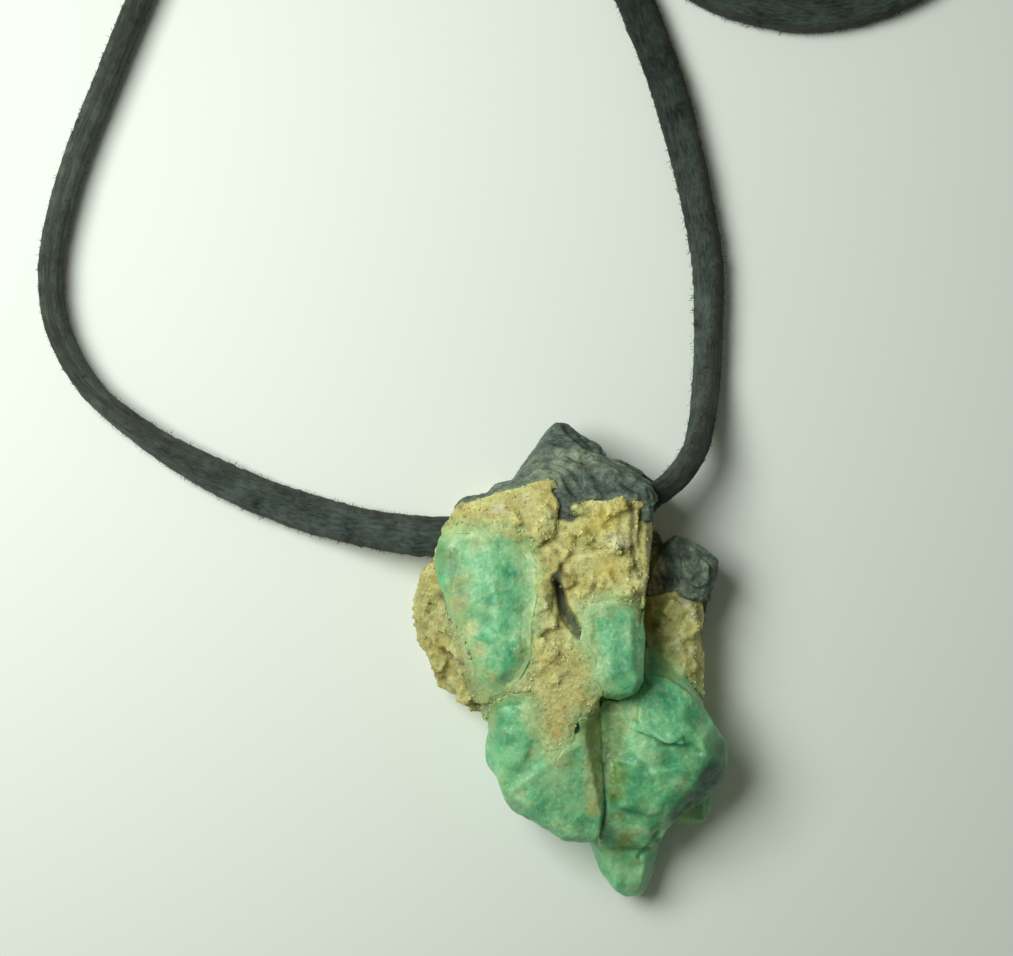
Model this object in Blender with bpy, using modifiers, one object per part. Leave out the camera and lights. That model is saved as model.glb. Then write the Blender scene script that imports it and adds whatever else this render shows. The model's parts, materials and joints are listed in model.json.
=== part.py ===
"""Rough emerald crystals in their host rock, drilled and strung on a flat suede lace.

The stone lies on its back. +Z is up, +Y runs towards the dark schist end, and the origin is
below the middle of the stone, on the surface that it lies on. Blender works in metres here;
the sizes below are written in millimetres and scaled by MM.
"""

import math
import random

import bmesh
import bpy
from mathutils import Matrix, Vector
from mathutils.bvhtree import BVHTree

MM = 0.001
GAP = 0.3  # clearance between two pieces that touch
MERGE_WITHIN = 0.0005  # corners closer than this are one corner
CUT_TOLERANCE = 0.001
MITRE_LIMIT = 0.5  # keeps a sharp corner from running far out when an outline grows
OPEN_ABOVE = 16.0  # a height above all of the stone
OPEN_STEP = 0.4  # so that no two open rooms end level
LOOKS_UP = 0.05  # a facet whose normal rises more than this looks up

# Height of the stone's levels above the surface it lies on
FACE_TOP = 11.4  # the broad cream face
LEFT_LEDGE_TOP = 4.6
RIGHT_LEDGE_TOP = 5.4

# The drilled hole: two straight bores that meet inside the matrix
BORE_RADIUS = 2.15
BORE_SIDES = 20
BORE_LEFT_END = (-15.0, 11.1, 5.3)
BORE_MIDDLE = (-1.5, 11.6, 5.6)
BORE_RIGHT_END = (12.5, 16.8, 5.9)

# The lace: a soft flat strip, drawn as a round tube of about its girth
LACE_RADIUS = 1.25
LACE_POINT_SPACING = 6.0
CURVE_STEPS = 20  # steps between two points of a route, before it is spaced evenly

# The coil that holds the spare length of lace, flat on the surface
COIL_CENTRE = (20.8, 78.8)
COIL_INNER_RADIUS = 13.2
COIL_OUTER_RADIUS = 23.2
COIL_HEIGHT = 2.4
COIL_RIM = 0.5  # the bevel along the ring's edges
COIL_STEPS = 40

KNOT_CENTRE = (19.6, 71.9, 2.6)
KNOT_SIZE = (8.4, 5.6, 5.0)
KNOT_ROUNDING = 1.6

LEFT_ROUTE = [
    (-1.9, 11.6, 5.6),
    (-7.0, 11.4, 5.5),
    (-11.9, 11.2, 5.2),
    (-16.4, 11.6, 3.6),
    (-21.8, 12.7, 1.7),
    (-27.4, 14.5, 1.3),
    (-32.9, 17.0, 1.3),
    (-38.4, 20.2, 1.3),
    (-43.7, 24.6, 1.3),
    (-46.8, 30.1, 1.3),
    (-47.5, 35.6, 1.3),
    (-46.6, 41.1, 1.3),
    (-44.9, 46.7, 1.3),
    (-42.7, 52.2, 1.3),
    (-40.2, 58.4, 1.3),
    (-36.8, 66.0, 1.3),
    (-31.2, 75.2, 1.3),
    (-22.4, 85.0, 1.3),
    (-9.0, 94.2, 1.3),
    (5.0, 99.9, 1.3),
    (20.8, 101.9, 1.3),
]

RIGHT_ROUTE = [
    (-1.1, 11.7, 5.6),
    (3.4, 13.4, 5.7),
    (7.8, 15.1, 5.8),
    (10.0, 16.9, 5.2),
    (11.5, 19.2, 4.2),
    (12.2, 21.8, 2.8),
    (12.7, 25.0, 1.6),
    (12.9, 29.0, 1.3),
    (12.9, 35.6, 1.3),
    (12.0, 41.4, 1.3),
    (10.8, 46.7, 1.3),
    (9.3, 52.2, 1.3),
    (7.3, 57.7, 1.3),
    (4.9, 63.0, 1.3),
    (1.6, 68.1, 1.3),
    (-0.2, 73.2, 1.3),
]

# Where the host is sugary with small grains, and where grains have dropped out of it: the
# outline of the place, the number of grains, their size, and the seed that scatters them
FACE_OUTLINE = [
    (-9.5, 14.2), (6.6, 14.2), (6.0, 6.2), (2.0, 6.0), (2.6, -1.4), (-3.8, -1.0), (-3.0, 10.6),
    (-9.5, 12.8),
]
LEFT_LEDGE_OUTLINE = [
    (-12.0, 8.4), (-13.8, 5.0), (-13.4, 2.0), (-11.6, -2.2), (-8.0, -4.4), (-8.6, -0.4),
    (-10.6, 4.0),
]
RIGHT_LEDGE_OUTLINE = [
    (7.2, 5.2), (10.0, 5.7), (11.0, 4.6), (11.0, -2.2), (9.0, -1.0), (7.2, 1.4),
]
GRAINY_PLACES = [
    (FACE_OUTLINE, 46, 1.7, 301),
    (LEFT_LEDGE_OUTLINE, 34, 1.9, 302),
    (RIGHT_LEDGE_OUTLINE, 20, 1.8, 303),
]
PITTED_PLACES = [
    (FACE_OUTLINE, 12, 1.2, 311),
    (LEFT_LEDGE_OUTLINE, 6, 1.3, 312),
]
GRAIN_WIDTH = (0.55, 1.0)  # the least and the most, as shares of the size
GRAIN_LENGTH = (0.5, 0.9)
GRAIN_HEIGHT = (0.4, 0.7)
GRAIN_LEAN = 28.0  # degrees, either way
GRAIN_PROUD = 0.2

# The crystals with nothing of the host above them
EXPOSED_ABOVE = ("emerald_upper_left", "emerald_middle", "emerald_lower_left", "emerald_right")

# Colours as sRGB hex values, with the roughness of each surface
FINISHES = {
    "emerald": ("#5FA57C", 0.35),
    "pale_emerald": ("#8CB97F", 0.4),
    "feldspar": ("#C4BE8A", 0.75),
    "schist": ("#59655C", 0.6),
    "suede": ("#2E2824", 0.95),
}

MATERIAL_OF = {
    "emerald_upper_left": "emerald",
    "emerald_middle": "emerald",
    "emerald_lower_left": "emerald",
    "emerald_right": "emerald",
    "emerald_chip": "pale_emerald",
    "schist_cap": "schist",
    "schist_spur": "schist",
    "matrix": "feldspar",
}


def linear(channel):
    """One sRGB channel, from 0 to 1, as a linear value."""
    if channel <= 0.04045:
        return channel / 12.92
    return ((channel + 0.055) / 1.055) ** 2.4


def finish(name):
    """The Principled material of that name, made once."""
    material = bpy.data.materials.get(name)
    if material:
        return material
    code, roughness = FINISHES[name]
    channels = [linear(int(code[i : i + 2], 16) / 255) for i in (1, 3, 5)]
    material = bpy.data.materials.new(name)
    material.use_nodes = True
    shader = material.node_tree.nodes["Principled BSDF"]
    shader.inputs["Base Color"].default_value = (*channels, 1.0)
    shader.inputs["Roughness"].default_value = roughness
    return material


def point(x, y, z=0.0):
    """A place given in millimetres."""
    return Vector((x, y, z)) * MM


def add_mesh(name, mesh):
    """A new object in the scene that carries this mesh."""
    obj = bpy.data.objects.new(name, mesh)
    bpy.context.scene.collection.objects.link(obj)
    return obj


def as_mesh(obj):
    """Replace a curve or an object with modifiers by the plain closed mesh that it shows."""
    bpy.context.view_layer.update()
    graph = bpy.context.evaluated_depsgraph_get()
    mesh = bpy.data.meshes.new_from_object(obj.evaluated_get(graph))
    mesh.transform(obj.matrix_world)
    name = obj.name
    bpy.data.objects.remove(obj)
    work = bmesh.new()
    work.from_mesh(mesh)
    bmesh.ops.remove_doubles(work, verts=work.verts, dist=MERGE_WITHIN * MM)
    work.to_mesh(mesh)
    work.free()
    mesh.shade_flat()
    result = add_mesh(name, mesh)
    result.name = name
    return result


def slab(outline, low, high):
    """A flat-topped slab with this outline, between two heights."""
    curve = bpy.data.curves.new("slab", "CURVE")
    curve.dimensions = "2D"
    curve.fill_mode = "BOTH"
    curve.extrude = (high - low) / 2 * MM
    spline = curve.splines.new("POLY")
    spline.points.add(len(outline) - 1)
    for target, (x, y) in zip(spline.points, outline):
        target.co = (x * MM, y * MM, 0.0, 1.0)
    spline.use_cyclic_u = True
    obj = add_mesh("slab", curve)
    obj.location.z = (low + high) / 2 * MM
    return as_mesh(obj)


def cut_plane(obj, place, normal):
    """Break off all that lies beyond a plane, and close the break with a flat face."""
    work = bmesh.new()
    work.from_mesh(obj.data)
    parts = work.verts[:] + work.edges[:] + work.faces[:]
    cut = bmesh.ops.bisect_plane(
        work, geom=parts, dist=CUT_TOLERANCE * MM, plane_co=place, plane_no=normal, clear_outer=True
    )
    edges = [item for item in cut["geom_cut"] if isinstance(item, bmesh.types.BMEdge)]
    if edges:
        bmesh.ops.holes_fill(work, edges=edges)
    work.to_mesh(obj.data)
    work.free()


class Block:
    """An upright prism with flat grown or broken faces and chipped corners.

    Each facet is a point on the face, the compass heading that the face leans towards in
    degrees from +X towards +Y, and its tilt: 0 is level, 90 is an upright wall, and more
    than 90 is an undercut. The chips are seeded, and each takes off the corner that sticks
    out the furthest one way.
    """

    def __init__(self, outline, low, high, facets, chips=0, depth=0.5, seed=1):
        self.outline, self.low, self.high = outline, low, high
        self.planes = []
        for x, y, z, heading, tilt in facets:
            lean, turn = math.radians(tilt), math.radians(heading)
            level = math.sin(lean)
            normal = Vector((level * math.cos(turn), level * math.sin(turn), math.cos(lean)))
            self.planes.append((point(x, y, z), normal))
        self.add_chips(chips, depth, random.Random(seed))

    def add_chips(self, count, depth, dice):
        trial = self.shape()
        for _ in range(count):
            up, turn = dice.uniform(-1, 1), dice.uniform(0, 2 * math.pi)
            level = math.sqrt(1 - up * up)
            normal = Vector((level * math.cos(turn), level * math.sin(turn), up))
            furthest = max(trial.data.vertices, key=lambda corner: corner.co.dot(normal)).co
            place = furthest - normal * dice.uniform(0.35, 1.0) * depth * MM
            cut_plane(trial, place, normal)
            self.planes.append((place, normal))
        bpy.data.objects.remove(trial)

    def shape(self, swell=0.0, open_top=None):
        """The block as a solid, with every face moved out by swell.

        open_top leaves out the faces that look up and gives the height to reach instead, for
        the room above an exposed crystal.
        """
        obj = slab(moved_out(self.outline, swell), self.low - swell, open_top or self.high + swell)
        for place, normal in self.planes:
            if not (open_top and normal.z > LOOKS_UP):
                cut_plane(obj, place + normal * swell * MM, normal)
        return obj


def moved_out(outline, distance):
    """The same outline with each side moved outwards."""
    if not distance:
        return outline
    turning = sum(ax * by - bx * ay for (ax, ay), (bx, by) in zip(outline, outline[1:] + outline[:1]))
    side = math.copysign(distance, turning)
    result = []
    for before, corner, after in zip(outline[-1:] + outline[:-1], outline, outline[1:] + outline[:1]):
        here = Vector(corner)
        first, second = (here - Vector(before)).normalized(), (Vector(after) - here).normalized()
        outward = (Vector((first.y, -first.x)) + Vector((second.y, -second.x))).normalized()
        reach = side / max(MITRE_LIMIT, outward.dot(Vector((first.y, -first.x))))
        result.append(tuple(here + outward * reach))
    return result


def boolean(obj, other, operation, self_overlap=False):
    """Join or cut the piece with another one, which is used up."""
    modifier = obj.modifiers.new(operation, "BOOLEAN")
    modifier.object = other
    modifier.operation = operation
    modifier.solver = "EXACT"
    modifier.use_self = self_overlap
    result = as_mesh(obj)
    bpy.data.objects.remove(other)
    return result


def join(pieces):
    """One solid from several that overlap."""
    whole = pieces[0]
    for piece in pieces[1:]:
        whole = boolean(whole, piece, "UNION")
    return whole


def solid(blocks, swell=0.0, open_above=False):
    """One closed piece from overlapping blocks; open ones end at heights of their own."""
    tops = [OPEN_ABOVE + number * OPEN_STEP if open_above else None for number in range(len(blocks))]
    return join([block.shape(swell, top) for block, top in zip(blocks, tops)])


def pocket(host, guest_blocks, open_above=False):
    """Cut room for a guest piece out of its host, with a gap all round."""
    return boolean(host, solid(guest_blocks, GAP, open_above), "DIFFERENCE")


def inside(outline, x, y):
    """Whether a place is inside an outline, by counting the sides to its right."""
    found = False
    for (ax, ay), (bx, by) in zip(outline, outline[1:] + outline[:1]):
        if (ay > y) != (by > y) and x < ax + (y - ay) * (bx - ax) / (by - ay):
            found = not found
    return found


def grains(host, outline, count, size, seed, operation="UNION"):
    """Grow small blocky grains on the upper surface inside an outline, or pluck them out of it."""
    dice = random.Random(seed)
    graph = bpy.context.evaluated_depsgraph_get()
    surface = BVHTree.FromObject(host, graph)
    xs = [x for x, _ in outline]
    ys = [y for _, y in outline]
    work = bmesh.new()
    made = 0
    while made < count:
        x = dice.uniform(min(xs), max(xs))
        y = dice.uniform(min(ys), max(ys))
        if not inside(outline, x, y):
            continue
        place, normal, _, _ = surface.ray_cast(point(x, y, OPEN_ABOVE), Vector((0, 0, -1)))
        made += 1
        if place is None:
            continue
        across = dice.uniform(*GRAIN_WIDTH) * size
        along = dice.uniform(*GRAIN_LENGTH)
        high = dice.uniform(*GRAIN_HEIGHT)
        shape = Matrix.Diagonal((1.0, along, high)) * across
        turn = Matrix.Rotation(dice.uniform(0, math.pi), 3, "Z")
        lean = Matrix.Rotation(math.radians(dice.uniform(-GRAIN_LEAN, GRAIN_LEAN)), 3, "X")
        roll = Matrix.Rotation(math.radians(dice.uniform(-GRAIN_LEAN, GRAIN_LEAN)), 3, "Y")
        placing = (turn @ lean @ roll @ shape * MM).to_4x4()
        placing.translation = place + normal * dice.uniform(-GRAIN_PROUD, GRAIN_PROUD) * across * MM
        bmesh.ops.create_cube(work, size=1.0, matrix=placing)
    mesh = bpy.data.meshes.new("grains")
    work.to_mesh(mesh)
    work.free()
    return boolean(host, add_mesh("grains", mesh), operation, self_overlap=True)


def without_crumbs(obj):
    """Keep the one large body, and drop any splinter that a cut has left loose."""
    work = bmesh.new()
    work.from_mesh(obj.data)
    unseen, bodies = set(work.verts), []
    while unseen:
        front = [unseen.pop()]
        body = list(front)
        while front:
            corner = front.pop()
            near = {edge.other_vert(corner) for edge in corner.link_edges} & unseen
            unseen -= near
            front += near
            body += near
        bodies.append(body)
    bodies.sort(key=len)
    for crumb in bodies[:-1]:
        bmesh.ops.delete(work, geom=crumb, context="VERTS")
    work.to_mesh(obj.data)
    work.free()
    return obj


def name_piece(obj, name, material):
    """Give a finished piece its name and its material."""
    obj.name = name
    obj.data.name = name
    obj.data.materials.clear()
    obj.data.materials.append(finish(material))
    return obj


def bore(start, end, radius):
    """A straight drill's cylinder between two points."""
    first, last = point(*start), point(*end)
    along = last - first
    work = bmesh.new()
    place = Matrix.Translation((first + last) / 2) @ along.to_track_quat("Z", "Y").to_matrix().to_4x4()
    bmesh.ops.create_cone(
        work, cap_ends=True, segments=BORE_SIDES, radius1=radius * MM, radius2=radius * MM,
        depth=along.length, matrix=place,
    )
    mesh = bpy.data.meshes.new("bore")
    work.to_mesh(mesh)
    work.free()
    return add_mesh("bore", mesh)


def upper_left_emerald():
    """A pale side that falls away to the left, and a deep green column that stands a little proud."""
    pale = Block(
        [(-10.6, 11.7), (-11.5, 10.9), (-12.0, 9.9), (-11.9, 8.6), (-11.2, 6.4), (-10.4, 4.6),
         (-9.2, 3.3), (-8.7, 2.8), (-7.0, 6.0), (-6.4, 10.9), (-8.0, 11.6)],
        7.9, 12.0,
        [(-8.6, 9.0, 11.75, 175, 9), (-11.3, 9.4, 10.9, 176, 50), (-10.9, 11.0, 10.9, 138, 44),
         (-10.9, 6.0, 10.8, 205, 48), (-9.6, 4.4, 11.2, 228, 22), (-11.8, 9.0, 8.8, 175, 116)],
        chips=5, depth=0.35, seed=11,
    )
    column = Block(
        [(-7.8, 11.2), (-6.2, 11.5), (-4.8, 11.0), (-3.3, 9.2), (-3.2, 6.0), (-3.7, 4.0), (-3.7, 1.2),
         (-4.8, -0.9), (-6.6, -2.2), (-7.9, -1.2), (-8.6, 1.2), (-8.9, 2.8), (-8.2, 5.0)],
        7.9, 13.0,
        [(-5.6, 6.0, 12.05, 30, 4), (-7.3, 6.0, 11.9, 180, 17), (-5.8, 0.4, 11.9, 262, 16),
         (-4.0, 5.0, 11.9, 352, 30), (-5.6, 10.2, 11.9, 84, 24), (-4.2, 9.2, 11.8, 38, 30)],
        chips=6, depth=0.3, seed=12,
    )
    knee = Block(
        [(-7.6, 3.4), (-4.6, 3.8), (-4.2, 1.4), (-5.2, -0.4), (-6.8, -1.2), (-8.0, 0.6)],
        9.0, 13.0,
        [(-6.0, 1.6, 12.25, 250, 6), (-6.2, 3.2, 12.1, 88, 26), (-7.4, 1.4, 12.0, 186, 24)],
        chips=4, depth=0.25, seed=13,
    )
    return [column, pale, knee]


def middle_emerald():
    """A short stout prism whose broken end hangs over the crystal below it."""
    body = Block(
        [(1.6, 4.9), (2.7, 5.5), (5.5, 5.4), (6.3, 4.6), (6.4, 2.4), (6.2, -1.2), (5.7, -2.2),
         (4.3, -2.9), (3.2, -2.7), (2.3, -1.2), (2.2, 0.8), (1.1, 2.5)],
        7.2, 13.0,
        [(3.8, 2.0, 12.25, 160, 4), (2.8, 2.0, 12.1, 184, 17), (5.5, 2.0, 12.0, 2, 42),
         (4.0, 4.8, 12.1, 88, 20), (4.4, -0.8, 12.1, 268, 20), (4.6, -2.3, 11.4, 275, 60),
         (6.2, 2.0, 9.0, 0, 102), (5.7, 5.0, 11.5, 50, 50), (5.8, -1.8, 11.2, 325, 55)],
        chips=5, depth=0.3, seed=21,
    )
    return [body]


def cream_wedge():
    """A tongue of the host that runs down into the lower left crystal."""
    return [
        Block(
            [(-3.7, -1.0), (2.9, -1.0), (2.6, -3.2), (1.6, -4.2), (0.4, -4.4), (-0.2, -6.4),
             (-1.2, -8.2), (-2.0, -7.2), (-2.5, -5.2), (-3.3, -4.0)],
            9.4, 12.0,
            [(-0.6, -4.0, 11.4, 262, 6), (1.0, -4.0, 11.2, 320, 20), (-2.6, -5.0, 11.1, 205, 22)],
            chips=6, depth=0.3, seed=87,
        )
    ]


def lower_left_emerald():
    """A broad crystal with a ridge across its face and a steep pale strip down its right side."""
    body = Block(
        [(-3.2, -2.3), (-5.6, -2.5), (-6.9, -3.2), (-6.9, -5.0), (-7.5, -7.2), (-7.4, -8.8),
         (-6.4, -10.1), (-5.7, -12.1), (-5.2, -12.9), (-4.2, -13.4), (-1.8, -14.7), (-0.6, -15.6),
         (0.3, -15.8), (2.0, -15.7), (2.6, -15.1), (2.9, -12.0), (3.2, -7.5), (3.5, -4.2), (3.3, -2.9),
         (-1.0, -2.2)],
        1.4, 12.0,
        [(0.4, -6.9, 11.0, 205, 6), (-1.6, -8.9, 10.8, 302, 15), (1.5, -8.0, 10.6, 4, 60),
         (-6.6, -6.0, 10.3, 184, 44), (-7.0, -7.4, 8.8, 188, 70), (-2.2, -14.0, 9.2, 242, 50),
         (-5.4, -12.2, 9.6, 214, 46), (0.9, -15.3, 8.8, 268, 54), (-6.4, -4.0, 10.6, 150, 30),
         (-7.0, -7.0, 5.0, 186, 110), (-2.6, -14.0, 4.4, 242, 122), (1.0, -15.0, 4.6, 275, 114),
         (2.4, -10.0, 5.0, 4, 98), (-1.0, -9.0, 1.7, 250, 173)],
        chips=7, depth=0.35, seed=31,
    )
    shoulder = Block(
        [(-6.2, -3.6), (-3.2, -3.4), (-3.0, -6.2), (-4.2, -9.0), (-5.6, -8.8), (-6.4, -6.4)],
        8.0, 12.0,
        [(-4.8, -6.0, 11.0, 190, 7), (-4.2, -8.4, 10.8, 290, 32), (-6.0, -6.0, 10.9, 184, 40)],
        chips=5, depth=0.3, seed=32,
    )
    return [body, shoulder]


def right_emerald():
    """The largest crystal, with a ridge across its middle, dark flanks, and the low tip grown to it."""
    body = Block(
        [(2.6, -2.6), (4.9, -0.6), (6.6, 1.3), (8.6, 0.3), (10.2, -1.5), (11.6, -3.4), (12.7, -5.3),
         (14.3, -7.6), (14.3, -9.0), (13.7, -10.6), (12.6, -12.3), (9.9, -13.5), (8.6, -15.0),
         (7.9, -16.8), (2.8, -16.6), (2.4, -14.0), (2.4, -9.0), (2.6, -5.2)],
        0.9, 11.0,
        [(8.4, -7.2, 9.8, 282, 12), (7.6, -5.9, 9.85, 108, 15), (5.2, -6.5, 9.3, 176, 15),
         (12.6, -7.4, 8.9, 12, 42), (12.0, -4.6, 8.3, 42, 44), (11.4, -11.0, 8.1, 312, 48),
         (13.0, -11.0, 6.6, 320, 70), (9.0, -13.2, 8.1, 300, 44), (6.4, -13.4, 8.2, 262, 22),
         (5.0, -15.6, 6.8, 262, 40), (14.1, -8.4, 6.0, 356, 72), (8.9, -0.6, 7.0, 62, 50),
         (13.9, -8.4, 4.0, 352, 116), (12.0, -12.4, 3.2, 312, 126), (8.0, -15.8, 3.2, 285, 122),
         (2.9, -10.0, 4.0, 180, 98), (12.5, -4.0, 3.4, 36, 120)],
        chips=8, depth=0.4, seed=41,
    )
    ledge = Block(
        [(5.8, -5.6), (8.2, -6.8), (11.2, -7.0), (12.6, -5.8), (10.8, -2.8), (8.6, -1.2), (6.4, -1.0)],
        6.0, 11.0,
        [(8.4, -4.4, 9.75, 84, 19), (11.6, -5.6, 9.0, 24, 34)],
        chips=5, depth=0.3, seed=43,
    )
    shelf = Block(
        [(4.0, -8.6), (6.4, -9.4), (9.6, -8.8), (11.6, -9.8), (10.0, -12.4), (7.2, -13.2), (4.4, -12.6)],
        6.0, 11.0,
        [(7.4, -10.6, 9.5, 276, 13), (10.6, -10.8, 8.7, 312, 34)],
        chips=5, depth=0.3, seed=44,
    )
    tip = Block(
        [(1.5, -15.4), (2.2, -17.3), (2.9, -19.2), (4.3, -21.0), (5.2, -21.6), (6.7, -21.3),
         (7.6, -20.2), (8.1, -18.2), (8.4, -15.6), (8.2, -12.6), (3.0, -12.6)],
        0.5, 6.0,
        [(5.2, -17.5, 5.1, 262, 13), (3.2, -17.6, 4.7, 198, 36), (7.3, -17.8, 4.4, 352, 46),
         (5.4, -20.8, 3.9, 268, 42), (2.5, -18.2, 3.0, 207, 64), (7.9, -18.4, 2.6, 344, 66),
         (5.2, -21.4, 1.8, 268, 114), (2.6, -18.6, 1.5, 205, 120), (7.8, -18.8, 1.4, 345, 118)],
        chips=6, depth=0.3, seed=42,
    )
    return [body, ledge, shelf, tip]


def emerald_chip():
    """The small pale crystal that looks out from under the large one."""
    return [
        Block(
            [(7.8, -13.0), (9.0, -15.0), (10.3, -15.3), (11.4, -15.3), (12.4, -14.9), (13.1, -14.1),
             (13.1, -12.6), (12.2, -11.2), (9.6, -10.8)],
            0.2, 3.0,
            [(11.2, -13.6, 2.7, 300, 16), (12.6, -13.4, 2.2, 350, 50), (10.8, -15.0, 2.0, 270, 48),
             (12.7, -14.6, 1.2, 310, 110), (9.4, -14.8, 1.0, 250, 114)],
            chips=4, depth=0.25, seed=51,
        )
    ]


def schist_cap():
    """Thin layers of schist stacked like slates, each set back from the one below it."""
    bottom = Block(
        [(-10.1, 13.8), (-9.4, 14.6), (-7.4, 15.0), (-6.6, 15.9), (-4.9, 16.3), (-4.2, 17.6),
         (-3.0, 19.2), (-2.5, 20.0), (-1.8, 20.9), (-1.2, 21.4), (-0.1, 21.3), (0.8, 20.5),
         (2.7, 19.4), (3.3, 18.6), (3.2, 18.1), (4.6, 18.1), (6.3, 17.2), (8.3, 15.7), (8.4, 14.0),
         (6.0, 12.6), (-8.5, 12.6)],
        2.2, 7.6,
        [(0.0, 20.0, 7.1, 92, 10), (-8.4, 14.8, 6.4, 140, 30), (6.4, 16.8, 6.7, 58, 32),
         (-1.0, 21.0, 3.6, 92, 120), (-6.6, 16.0, 3.0, 135, 115), (6.0, 17.4, 3.4, 60, 118)],
    )
    second = Block(
        [(-9.4, 13.8), (-7.4, 14.9), (-5.4, 15.9), (-4.4, 17.2), (-3.0, 18.9), (-1.8, 20.3),
         (-0.2, 20.2), (1.2, 19.0), (2.9, 18.4), (4.6, 17.7), (7.0, 16.2), (7.7, 14.6), (6.0, 12.8),
         (-8.6, 12.8)],
        6.0, 9.4,
        [(-1.6, 18.2, 8.9, 112, 10), (3.4, 17.2, 9.0, 66, 13), (0.0, 19.6, 8.3, 95, 40)],
        chips=6, depth=0.3, seed=62,
    )
    third = Block(
        [(-9.2, 13.8), (-6.6, 15.1), (-4.0, 16.4), (-2.4, 17.8), (-0.6, 18.4), (1.0, 17.5),
         (2.4, 17.0), (5.6, 16.2), (7.2, 15.2), (7.2, 13.0), (-8.6, 13.0)],
        8.0, 11.0,
        [(-3.6, 15.8, 10.7, 118, 15), (3.0, 15.8, 10.7, 78, 12), (0.2, 17.6, 10.0, 88, 40)],
        chips=6, depth=0.3, seed=63,
    )
    slate = Block(
        [(0.9, 17.3), (2.0, 18.0), (3.6, 17.6), (5.8, 16.6), (7.0, 15.6), (6.6, 14.6), (1.2, 14.9)],
        9.0, 12.0,
        [(3.6, 16.0, 10.95, 70, 9), (4.6, 17.0, 10.6, 66, 44)],
        chips=5, depth=0.25, seed=64,
    )
    return [bottom, second, third, slate]


def schist_spur():
    """The dark block on the right side, with a step on its top and a tail under the cream ledge."""
    body = Block(
        [(7.3, 6.0), (7.6, 8.4), (8.8, 10.4), (9.7, 11.3), (11.0, 10.9), (12.6, 9.7), (13.4, 9.1),
         (13.3, 7.8), (12.6, 5.6), (10.6, 5.9), (9.6, 6.4)],
        0.8, 6.6,
        [(11.0, 8.0, 6.2, 60, 7), (9.3, 8.0, 6.0, 196, 32), (12.9, 7.2, 5.6, 346, 48),
         (11.4, 10.3, 5.7, 55, 42), (12.6, 6.0, 3.4, 350, 106), (11.5, 10.3, 2.8, 55, 116),
         (8.9, 10.3, 3.2, 150, 110)],
        chips=6, depth=0.3, seed=71,
    )
    tail = Block(
        [(7.6, 6.4), (12.7, 6.4), (12.4, 4.4), (11.8, 2.2), (9.6, 2.6), (7.8, 4.6)],
        1.0, 4.2, [(11.6, 3.6, 3.6, 345, 24), (12.2, 4.0, 2.0, 348, 112)], chips=4, depth=0.3, seed=73,
    )
    step = Block(
        [(10.0, 9.4), (11.2, 9.9), (12.5, 8.7), (12.4, 7.2), (11.5, 6.6), (10.2, 7.2)],
        4.0, 7.0, [(11.0, 8.2, 6.6, 40, 7)], chips=4, depth=0.25, seed=72,
    )
    return [body, tail, step]


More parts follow.
